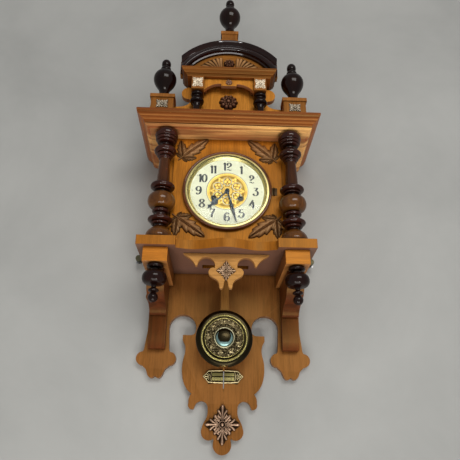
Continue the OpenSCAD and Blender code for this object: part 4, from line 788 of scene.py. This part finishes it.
# %% Flowers, rope, boss and beads
def bob_band(radius, turn):
    """Flowers of five petals with scrolls between them."""
    height = 0.30 + 0 * radius * turn
    for k in range(5):
        way, off = 26.4 + 3.0 * np.sin(1.2566 * k), 0.30 + 0.115 * np.cos(1.2566 * k)
        height = height + 1.0 * buds(radius, turn, way, 9, 1.35, off)
    height = height + 1.2 * buds(radius, turn, 26.4, 9, 0.9, 0.30)
    scroll = np.abs(np.sin(4.5 * turn + 0.30 * (radius - 26.5)) + 0.6 * np.sin(18 * turn - 0.8 * radius))
    height = height + 0.8 * ridge(scroll, 0.5, 0.20)
    height = height + 0.6 * buds(radius, turn, 31.6, 24, 1.0) + 0.6 * buds(radius, turn, 20.8, 16, 1.0)
    return BOB_FACE + 0.2 + height


def rope(radius, turn):
    """A half-round ring cut across by slanting grooves."""
    grooves = np.cos(96 * turn + 1.5 * (radius - 40.0))
    return BOB_FACE - 0.3 + half_round((radius - 40.0) / 1.75) * (1.3 + 0.35 * grooves)


def bob_dome(radius, turn):
    """The smooth boss in the middle: part of a ball."""
    return BOB_FACE + 0.8 + 5.6 * half_round(radius / 15.8) + 0 * turn


def bead(radius, half_width, rise):
    """A plain half-round ring."""
    return lambda r, turn: BOB_FACE + rise * half_round((r - radius) / half_width) + 0 * turn


# %% Pieces of the bob
flower_band = disc_grid(0, bob_h, 19.0, 33.8, bob_band, BOB_BACK, 64, 480)
rope_ring = disc_grid(0, bob_h, 38.25, 41.75, rope, BOB_BACK, 10, 768)
wire_ring = disc_grid(0, bob_h, 33.7, 35.1, bead(34.4, 0.7, 1.5), BOB_BACK, 9, 160)
bead_ring = disc_grid(0, bob_h, 15.4, 19.2, bead(17.3, 1.9, 2.4), BOB_BACK, 12, 120)
make_piece("bob_flower_band", [flower_band], "bob", bob_press, heights=(BOB_FACE + 0.4, BOB_FACE + 2.2))
make_piece("bob_rings", [rope_ring, wire_ring], "bob", bob_gold)
make_piece("bob_bead", [bead_ring], "bob", bob_pale)
make_piece("bob_boss", [disc_grid(0, bob_h, 0.0, 15.5, bob_dome, BOB_FACE - 0.5, 30, 120)], "bob", bob_boss)
dressed("pendulum_bob", bob_rim_shaded, "bob", angle=50.0)

# %% [markdown]
# ## The dial
#
# The chapter ring carries upright numerals in a pen-like style: strokes that run down are thick, strokes
# that run across are thin. A text object could set them in a font, but these have shapes of their own. So
# each digit is one or more curves drawn with such a pen, as a thin closed ribbon a tenth of a millimetre
# proud. A curve through listed points keeps the shapes round. The points are in hundredths of the
# digit's height, and some digits end in a ball.

# %% Numerals
PRINT_BACK, PRINT_FRONT = dial_face - 0.05, dial_face + 0.10
NUMERAL_RADIUS, NUMERAL_HEIGHT, THICK, THIN = 54.6, 18.0, 2.0, 0.58
MINUTE_RADIUS = 66.6


def sideways(path):
    """The direction across a path of (x, h) at each of its points."""
    way = np.gradient(path, axis=0)
    way = way / np.maximum(np.linalg.norm(way, axis=1, keepdims=True), 1e-9)
    return np.stack([-way[:, 1], way[:, 0]], axis=1)


def pen(path, thick=THICK, thin=THIN, front=PRINT_FRONT, back=PRINT_BACK):
    """A ribbon along a path of (x, h), wide where it runs up or down. THICK and THIN are half widths."""
    path = np.asarray(path, float)
    aside = sideways(path)
    aside = aside * (thin + (thick - thin) * np.abs(aside[:, :1]) ** 1.6)
    x, h = np.stack([path + aside, path - aside, path - aside, path + aside], axis=1).transpose(2, 0, 1)
    return place(x, np.array([[front, front, back, back]]), h)


def plate(x, h, back, front):
    """A flat plate with the given outline."""
    return np.stack([place(x, back, h), place(x, front, h)])


def dot(x, h, radius):
    """A small printed disc."""
    turn = circle(14)[0]
    return plate(x + radius * np.cos(turn), h + radius * np.sin(turn), PRINT_BACK, PRINT_FRONT)


# %% Digits
SIX = [(50, 86), (36, 97), (14, 80), (5, 45), (12, 12), (29, 2), (48, 14), (53, 32), (44, 50), (28, 55),
       (13, 42)]
DIGITS = {
    "0": [[(28, 98), (10, 80), (6, 50), (10, 20), (28, 2), (46, 20), (50, 50), (46, 80), (28, 98)]],
    "1": [[(20, 100), (20, 66), (20, 33), (20, 0)], [(2, 80), (12, 88), (20, 98)]],
    "2": [[(10, 70), (12, 88), (28, 98), (46, 86), (46, 64), (28, 48), (16, 40), (30, 36)],
          [(4, 10), (20, 14), (36, 5), (54, 10)]],
    "3": [[(8, 96), (30, 94), (50, 98)], [(50, 96), (40, 78), (26, 60)],
          [(24, 60), (42, 58), (53, 38), (46, 12), (26, 2), (8, 12), (8, 24)]],
    "4": [[(40, 100), (22, 66), (2, 32)], [(2, 32), (30, 31), (60, 32)],
          [(42, 78), (42, 50), (42, 24), (42, 0)]],
    "5": [[(14, 97), (30, 93), (50, 98)], [(14, 96), (12, 78), (11, 58)],
          [(12, 56), (30, 64), (50, 52), (53, 30), (42, 8), (24, 2), (7, 12), (8, 26)]],
    "6": [SIX],
    "7": [[(6, 86), (14, 97), (32, 92), (54, 98)], [(54, 97), (40, 66), (26, 36), (24, 0)]],
    "8": [[(30, 54), (12, 66), (11, 86), (28, 98), (46, 86), (44, 68), (28, 54), (10, 38), (6, 18), (28, 2),
           (50, 16), (50, 36), (30, 54)]],
    "9": [[(58 - x, 100 - h) for x, h in SIX]],
}
DIGIT_WIDTH = {"1": 0.36}
BALLS = {"2": (0.13, 0.68), "3": (0.10, 0.22), "5": (0.10, 0.24), "6": (0.49, 0.84), "9": (0.09, 0.16)}


# %% Numbers and minute marks
def numeral(text, centre_x, centre_h, size):
    """The ribbons and ball ends of one number, centred on a point and standing upright."""
    widths = [DIGIT_WIDTH.get(c, 0.60) for c in text]
    start = -sum(widths) / 2
    made = []
    for character, width in zip(text, widths):
        for stroke in DIGITS[character]:
            line = through(np.array(stroke) / 100) + [start, -0.5]
            made.append(pen(line * size + [centre_x, centre_h]))
        if character in BALLS:
            x, h = BALLS[character]
            made.append(dot((start + x) * size + centre_x, (h - 0.5) * size + centre_h, 0.075 * size))
        start += width
    return made


def on_dial(radius, degrees):
    """The point (x, h) at a radius from the dial's middle and an angle from its 3."""
    angle = math.radians(degrees)
    return radius * math.cos(angle), dial_h + radius * math.sin(angle)


printed = []
for hour in range(1, 13):
    printed += numeral(str(hour), *on_dial(NUMERAL_RADIUS, 90 - 30 * hour), NUMERAL_HEIGHT)
for minute in range(60):
    printed.append(dot(*on_dial(MINUTE_RADIUS, 6 * minute), 0.75 if minute % 5 == 0 else 0.28))
make_piece("dial_numerals", printed, "case", print_black)

# %% [markdown]
# ## The gilt centre
#
# Inside the numerals lies a disc of thin pressed brass: six medallions, each a clover leaf under an arch,
# with scrolls between them, and the two winding holes take the place of the lower pair. The relief is one
# height over the disc. A boolean could cut the holes in a whole disc, but it would break up the even grid
# that carries the relief. So the disc is made in two halves: in each half, rows run from the hole's edge
# to the half disc's own edge, and columns run round the hole.

# %% Gilt centre
GILT_BACK, GILT_RADIUS, HOLE_RADIUS = dial_face + 0.12, 38.8, 4.3
hole_drop = square_h - dial_h


def gilt_relief(x, h):
    """Rim, rings, clover leaves under arches and scrolls between them, from x and h off the dial's middle."""
    radius, turn = np.hypot(x, h), np.arctan2(h, x)
    height = 0.45 + 0.45 * ridge(radius, 37.9, 0.7) + 0.35 * np.clip((radius - 33.2) / 0.8, 0, 1)
    height = height + 0.5 * ridge(radius, 8.6, 0.8) + 0.35 * (radius < 7.2)
    step = math.pi / 3
    aside = np.mod(turn - math.pi / 2 + step / 2, step) - step / 2
    out, across = radius * np.cos(aside) - 21.0, radius * np.sin(aside)
    for leaf_out, leaf_across in ((4.6, 0.0), (-0.6, 3.9), (-0.6, -3.9)):
        height = height + 1.0 * np.exp(-(((out - leaf_out) ** 2 + (across - leaf_across) ** 2) / 6.2) ** 1.6)
    height = height + 0.9 * ridge(np.hypot(across, (out + 5.5) * 0.45), 0, 0.9) * (np.abs(out + 5.5) < 3)
    around = np.hypot(out, across)
    height = height + 0.3 * ridge(around, 9.9, 0.95) * (out > -6) - 0.45 * ridge(around, 8.3, 0.7)
    between = np.mod(turn - math.pi / 2, step) - step / 2
    out, across = radius * np.cos(between) - 21.0, np.abs(radius * np.sin(between))
    for leaf_out, leaf_across, size in ((9.5, 0.0, 4.4), (5.6, 2.7, 3.4), (-8.0, 0.0, 3.0), (0.0, 0.0, 2.6)):
        height = height + 0.85 * np.exp(-(((out - leaf_out) ** 2 + (across - leaf_across) ** 2) / size))
    return np.clip(height, 0.05, 1.75) - 0.10


def gilt_half(side):
    """One half of the disc: from the hole out to the circle or to the middle line, whichever comes first."""
    turn = circle(300)
    share = np.linspace(0, 1, 72)[:, None]
    way_x, way_h, at_x, at_h = np.cos(turn), np.sin(turn), side * square_x, hole_drop
    along = at_x * way_x + at_h * way_h
    to_circle = -along + np.sqrt(along ** 2 - (at_x ** 2 + at_h ** 2 - GILT_RADIUS ** 2))
    inward = np.where(side * way_x < -1e-6, -side * way_x, 1e-6)
    to_middle = np.where(side * way_x < -1e-6, (abs(at_x) - 0.02) / inward, 1e6)
    far = HOLE_RADIUS + share * (np.minimum(to_circle, to_middle) - HOLE_RADIUS)
    x, h = at_x + far * way_x, at_h + far * way_h
    calm = 1 - np.exp(-((far - HOLE_RADIUS) / 1.6) ** 2)
    front = place(x, GILT_BACK + 0.10 + 0.48 * gilt_relief(x, h) * calm, dial_h + h)
    under = place(x[[-1, 0]], GILT_BACK + 0 * x[:2], dial_h + h[[-1, 0]])
    return np.concatenate([front, under, front[:1]])


make_piece("gilt_centre", [gilt_half(-1), gilt_half(1)], "case", gilt_press, angle=60.0,
           heights=(GILT_BACK + 0.12, GILT_BACK + 0.72))

# %% A dark line round the gilt centre, and painted shade round the winding holes
# Flat black rings round the winding holes, reaching over their edge, are painted shade of the holes.
make_piece("winding_hole_shade_rings", [disc_grid(side * square_x, square_h, 3.5, 5.3,
                                          lambda r, a: GILT_BACK + 0.70 + 0 * r * a, GILT_BACK, 3, 48)
                                for side in (-1, 1)], "case", print_black)
rim = [on_dial(GILT_RADIUS + 0.8, degrees) for degrees in np.linspace(0, 360, 161)]
line_paint = paint("gilt_edge", shade(96, 76, 44), shade(70, 54, 30), 0.4)
make_piece("gilt_edge_line", [pen(rim, 0.65, 0.65, dial_face + 0.25, PRINT_BACK)], "case", line_paint)


# %% [markdown]
# ## Ridges
#
# Leaves, feathers and castings are built from ridges: a path, a width at each point of it, and a rounded
# height over that width. A curve object with a bevel would be round underneath as well, while a ridge
# made as a grid has its flat back on the ground.

# %% Ridges
def swelling(path, width, back, rise, columns=8):
    """A rounded ridge along a path of (x, h), as wide and high as the given width at each point."""
    path = np.asarray(path, float)
    aside = sideways(path)
    width = np.broadcast_to(np.asarray(width, float), (len(path),))[:, None]
    turn = np.linspace(0, np.pi, columns)[None, :]
    x = path[:, :1] + aside[:, :1] * width * np.cos(turn)
    h = path[:, 1:] + aside[:, 1:] * width * np.cos(turn)
    share = (width / max(width.max(), 1e-9)) ** 0.7
    return place(x, back + rise * np.sin(turn) * share, h)


def finger_width(count, widest):
    """Widths along an acanthus finger: a fine root, a swollen end, and a round tip."""
    t = np.linspace(0, 1, count)
    return widest * (0.30 + 0.70 * t ** 0.8) * np.sqrt(np.maximum(1 - t ** 9, 0.01))


# %% [markdown]
# ## Carved leaves on the front panel
#
# Each corner of the panel has a carved leaf of pointed lobes on a stem, cut from solid wood and glued on.
# Sculpting would give four different leaves, but the carver cut them alike, in mirrored pairs, and one
# formula does so too. A lobe is a surface of two numbers: how far along its midrib, and how far out to
# either side. Its half width swells near the foot and runs out to a point, its edge is toothed, and its
# height has a ridge along the midrib and slanting veins.


# %% Leaves
def lobe(base, angle, length, back, rise, widest, teeth=4, rows=48, columns=21):
    """One closed lobe from foot to tip: rows along the midrib, columns over the front and back under it."""
    s = np.linspace(0, 1, rows)[:, None]
    t = np.linspace(-1, 1, columns)[None, :]
    saw = np.mod(s * teeth, 1.0)
    half = length * widest * 2.38 * s ** 0.5 * (1 - s) ** 0.8 * (0.78 + 0.34 * saw) + 0.25
    aside = t * half
    along = s * length + 0.30 * np.abs(aside) * (1 - s)
    c, sn = math.cos(math.radians(angle)), math.sin(math.radians(angle))
    x = base[0] + along * c - aside * sn
    h = base[1] + along * sn + aside * c
    veins = np.cos(2 * np.pi * (teeth * s - 0.9 * np.abs(t) + 0.2))
    arch = np.sqrt(np.maximum(1 - np.abs(t) ** 3, 0)) * (0.45 + 0.55 * np.sin(np.pi * s) ** 0.5)
    groove = 0.42 * ridge(np.abs(t), 0.12, 0.07) + 0.40 * ridge(veins, -1, 0.25) * np.abs(t)
    depth = back + rise * arch * np.maximum(0.92 - groove, 0.05)
    front = place(x, depth, h)
    behind = place(x, back + 0 * depth, h)[:, ::-1]
    return np.concatenate([front, behind], axis=1)


def carved_leaf(base, angle, length, flip, back):
    """A whole leaf: its long lobe, one towards the corner, one inwards, two small ones, and the stem."""
    way = length * np.array([math.cos(math.radians(angle)), math.sin(math.radians(angle))])
    lobes = [lobe(base + far * way, angle + turn * flip, length * part, back, rise, wide)
             for far, turn, part, rise, wide in (
                 (0, 57, 0.60, 3.6, 0.26), (0, -44, 0.42, 3.2, 0.30), (0, 106, 0.26, 2.4, 0.3),
                 (0, -92, 0.22, 2.2, 0.3), (0, 0, 1.0, 4.8, 0.21), (0.30, 34, 0.30, 3.0, 0.26),
                 (0.42, -30, 0.30, 3.0, 0.26))]
    return lobes + [swelling(through([base + far * way for far in (-0.17, 0.04, 0.25)]), 1.5, back, 3.4)]


LEAF_BACK = panel_face - SUNK
panel_leaves = []
for x, h, angle, flip in ((88.7, 531.0, 41, -1), (92.5, 398.7, -36, 1)):
    panel_leaves += carved_leaf((-x, h), angle, 65.0, -flip, LEAF_BACK)
    panel_leaves += carved_leaf((x, h), 180 - angle, 65.0, flip, LEAF_BACK)
make_piece("panel_leaves", panel_leaves, "case", leaf_wood, ["leaf_carvings"], angle=60.0,
           heights=(LEAF_BACK + 0.4, LEAF_BACK + 4.0))


# %% [markdown]
# ## Rosettes and palm sprays on the crest
#
# A rosette is a disc whose height is two rings of petals round a bud. One petal could be repeated by an
# Array modifier, but under one height the petals run into each other as carved ones do. The palm sprays
# that fill the arch are rows of narrow feathers that fan out from the middle. Each feather is a ridge
# along a bent path, and WING is the curve that their tips reach.


# %% Crest carving
def rosette(centre_h, radius, back, rise, petals):
    """Two rings of petals round a bud, cut into a disc with a scalloped edge."""
    def front(r, turn):
        share = r / radius
        outer = np.abs(np.cos(petals * turn / 2)) ** 0.6 * ridge(share, 0.72, 0.20)
        inner = np.abs(np.sin(petals * turn / 2)) ** 0.6 * ridge(share, 0.40, 0.13)
        bud = np.exp(-(share / 0.20) ** 4)
        return back + rise * (0.22 + 0.66 * outer + 0.62 * inner + 0.78 * bud) * (1 - 0.55 * share ** 6)
    grid = disc_grid(0, centre_h, 0.0, radius, front, back, 40, 16 * petals)
    x, h = grid[..., 0] / MM, (grid[..., 2] - tip_z) / MM - centre_h
    turn = np.arctan2(h, x)
    scallop = 1 - 0.14 * (1 - np.abs(np.cos(petals * turn / 2)) ** 0.7) * (np.hypot(x, h) / radius) ** 2
    grid[..., 0] = x * scallop * MM
    grid[..., 2] = (centre_h + h * scallop) * MM + tip_z
    return grid


def frond(base, tip, bend, widest, back, rise):
    """One feather of the palm spray: a ridge along a bent path, widest near its round tip."""
    path = through([base, (np.add(base, tip)) / 2 + bend, tip], 13)
    return swelling(path, finger_width(len(path), widest), back, rise, 12)


frieze_face = sides("frieze_board")[3]
tympanum_face = sides("tympanum_board")[3]
for name, middle_h, radius, face, rise, petals, finish in (
        ("panel_rosette", 688, 20.4, crest_face, 9.0, 10, rosette_wood),
        ("keystone_rosette", 723.2, 7.5, frieze_face, 4.0, 7, rosette_pale),
        ("tympanum_rosette", 782.5, 12.4, tympanum_face, 8.0, 9, rosette_wood)):
    make_piece(name, [rosette(middle_h, radius, face - SUNK, rise, petals)], "case", finish, angle=60.0,
               heights=(face + 0.18 * rise, face + 0.85 * rise))

WING = through([(19, 799), (29, 798), (40, 793), (51, 786), (61, 778), (69, 769), (76, 760)], 8)
fronds = []
for side in (-1, 1):
    for k in range(8):
        t = k / 7
        foot, end = (side * (15.5 + 12 * t), 757.0), WING[round(t * (len(WING) - 1))] * [side, 1]
        fronds.append(frond(foot, end, (side * (1 - t), 5.0 - 1.0 * t), 5.6 - 1.3 * t, tympanum_face - SUNK,
                            5.2 - 1.8 * t))
    ground = np.concatenate([WING, [(76, 756), (15, 756)]]) * [side, 1]
    fronds.append(plate(*ground.T, tympanum_face - SUNK, tympanum_face + 0.5))
make_piece("palm_sprays", fronds, "case", palm_wood, ["crest_carvings"], angle=60.0,
           heights=(tympanum_face + 0.8, tympanum_face + 4.6))

# %% [markdown]
# ## Pressed and cast ornaments
#
# The small squares on the plinths and capital blocks are pressed brass, and the two lozenges are
# castings. All are acanthus flowers with four long leaves and four short ones between them. A bump map on
# a flat plate could suggest them, but they stand 2 to 6 millimetres proud, which shows from the side.
# So each leaf is a spread of fingers: ridges with fine roots and swollen round tips, which bend away from
# the leaf's own middle. FINGERS gives the lean, the reach and the width of each finger in a long leaf and
# in a short one.


# %% Ornaments
FINGERS = [((0, 0.99, 0.11), (17, 0.78, 0.10), (-17, 0.78, 0.10), (30, 0.54, 0.085), (-30, 0.54, 0.085)),
           ((0, 0.66, 0.12), (17, 0.56, 0.08), (-17, 0.56, 0.08))]


def acanthus(centre_x, centre_h, half_w, half_h, turn0, back, rise):
    """Eight leaves of fingers round a ring and a bud, over a thin four-pointed ground."""
    size = np.array([half_w, half_h])
    middle, mean = np.array([centre_x, centre_h]), (half_w + half_h) / 2
    made = []
    for k in range(8):
        for lean, reach, wide in FINGERS[k % 2]:
            at = [math.radians(turn0 + 45 * k + lean * part) for part in (0.35, 0.7, 1.25)]
            far = (0.14, 0.14 + 0.55 * (reach - 0.14), reach)
            path = through([middle + size * f * (math.cos(a), math.sin(a)) for a, f in zip(at, far)], 8)
            lift = rise * (1.0 if lean == 0 else 0.8)
            made.append(swelling(path, finger_width(len(path), wide * mean), back, lift, 10))
    turn = np.linspace(0, 2 * np.pi, 33)
    ring = middle + 0.17 * mean * np.stack([np.cos(turn), np.sin(turn)], axis=1)
    made.append(swelling(ring, 0.035 * mean, back, rise * 0.9))
    made.append(disc_grid(centre_x, centre_h, 0.0, 0.12 * mean, lambda r, a: back + rise * np.sqrt(
        np.maximum(1.2 - (r / (0.12 * mean)) ** 2, 0)) + 0 * a, back, 8, 24))
    turn = circle(96)[0]
    reach = 0.60 + 0.36 * np.abs(np.cos(2 * (turn - math.radians(turn0)))) ** 5
    edge_x, edge_h = centre_x + half_w * reach * np.cos(turn), centre_h + half_h * reach * np.sin(turn)
    made.append(plate(edge_x, edge_h, back, back + 0.16 * rise))
    return made


CAPITAL_X, PLINTH_FACE, CAPITAL_FACE = 66.4, 123.4, 126.0
squares = []
for side in (-1, 1):
    squares += acanthus(side * PLINTH_X, 657, 17.0, 13.6, 45, PLINTH_FACE - SUNK, 2.4)
    squares += acanthus(side * CAPITAL_X, 715.5, 15.6, 17.2, 45, CAPITAL_FACE - SUNK, 2.4)
make_piece("pressed_squares", squares, "case", pale_press, ["gilt_ornaments"], angle=60.0,
           heights=(PLINTH_FACE + SUNK, CAPITAL_FACE + 0.6))
for name, middle_h, half_w, half_h, face, rise, finish, stands_for in (
        ("apron_lozenge", 293.0, 17.5, 18.5, sides("apron")[3], 3.6, bronze_cast_lit, []),
        ("tail_lozenge", 48.5, 31.5, 34.0, board_face, 6.0, bronze_cast, ["cast_ornaments"])):
    make_piece(name, acanthus(0, middle_h, half_w, half_h, 0, face - SUNK, rise), "case", finish, stands_for,
               angle=60.0, heights=(face, face + 0.9 * rise))

# %% [markdown]
# ## The beat scale
#
# A small brass plate under the bob shows how far the pendulum swings. It has a dark cast border with a
# leafy end on each side and a bright flat scale with fine marks between them, and the rod ends in a fine
# steel needle that points to the marks. The marks could be painted in the scale's finish, but strips a
# tenth of a millimetre proud stay sharp close up.

# %% Beat scale
SCALE_H, SCALE_FACE = 129.0, board_face + 1.2
half_edge = [(-36, 0), (-31, 4.4), (-27, 9.6), (-14, 10.4), (0, 10.6), (14, 10.4), (27, 9.6), (31, 4.4),
             (36, 0)]
edge_path = np.array(half_edge + [(x, -h) for x, h in half_edge[::-1][1:]]) + [0, SCALE_H]
border = [swelling(edge_path, 1.2, SCALE_FACE - SUNK, 1.8)]
for side in (-1, 1):
    bracket = through([(side * 21, SCALE_H - 8.5), (side * 22.5, SCALE_H), (side * 21, SCALE_H + 8.5)])
    border.append(swelling(bracket, 0.9, SCALE_FACE - SUNK, 1.4))
    for lean, reach in ((0, 10.5), (32, 8.0), (-32, 8.0), (64, 6.6), (-64, 6.6)):
        way = np.array([side * math.cos(math.radians(lean)), math.sin(math.radians(lean))])
        path = through([np.array([side * 24.0, SCALE_H]) + way * f * reach for f in (0.12, 0.55, 1.0)], 5)
        border.append(swelling(path, finger_width(len(path), 1.25), SCALE_FACE - SUNK, 1.6))
make_piece("beat_scale_border", border, "case", bob_press, heights=(SCALE_FACE, SCALE_FACE + 1.2))
middle = through([(-20.0, SCALE_H + 0.1), (0, SCALE_H + 0.1), (20.0, SCALE_H + 0.1)], 4)
strips = [pen(middle + [0, lift], 2.7, 2.7, SCALE_FACE + 0.35, SCALE_FACE - 0.1) for lift in (-3.9, 3.7)]
make_piece("beat_scale_face", strips, "case", bob_gold)
marks = [pen([(x, SCALE_H - 6), (x, SCALE_H - (1.5 if x % 5 else -1.5))], 0.2, 0.2, SCALE_FACE + 0.45,
             SCALE_FACE + 0.2) for x in range(-18, 19, 1) if x % 2 == 0 or x % 5 == 0]
make_piece("beat_scale_marks", marks, "case", print_black)

# %% Needle
rod_low, rod_d = sides("pendulum_rod")[4], (joints["pendulum_swing"]["pos_m"][1] / -MM)
needle = turned(0, rod_d, rod_low, [(0, 0), (0.3, 0.0), (1.0, 6.0), (1.0, 52.0), (0, 52.0)], 16)
make_piece("pendulum_needle", [needle], "pendulum", steel)
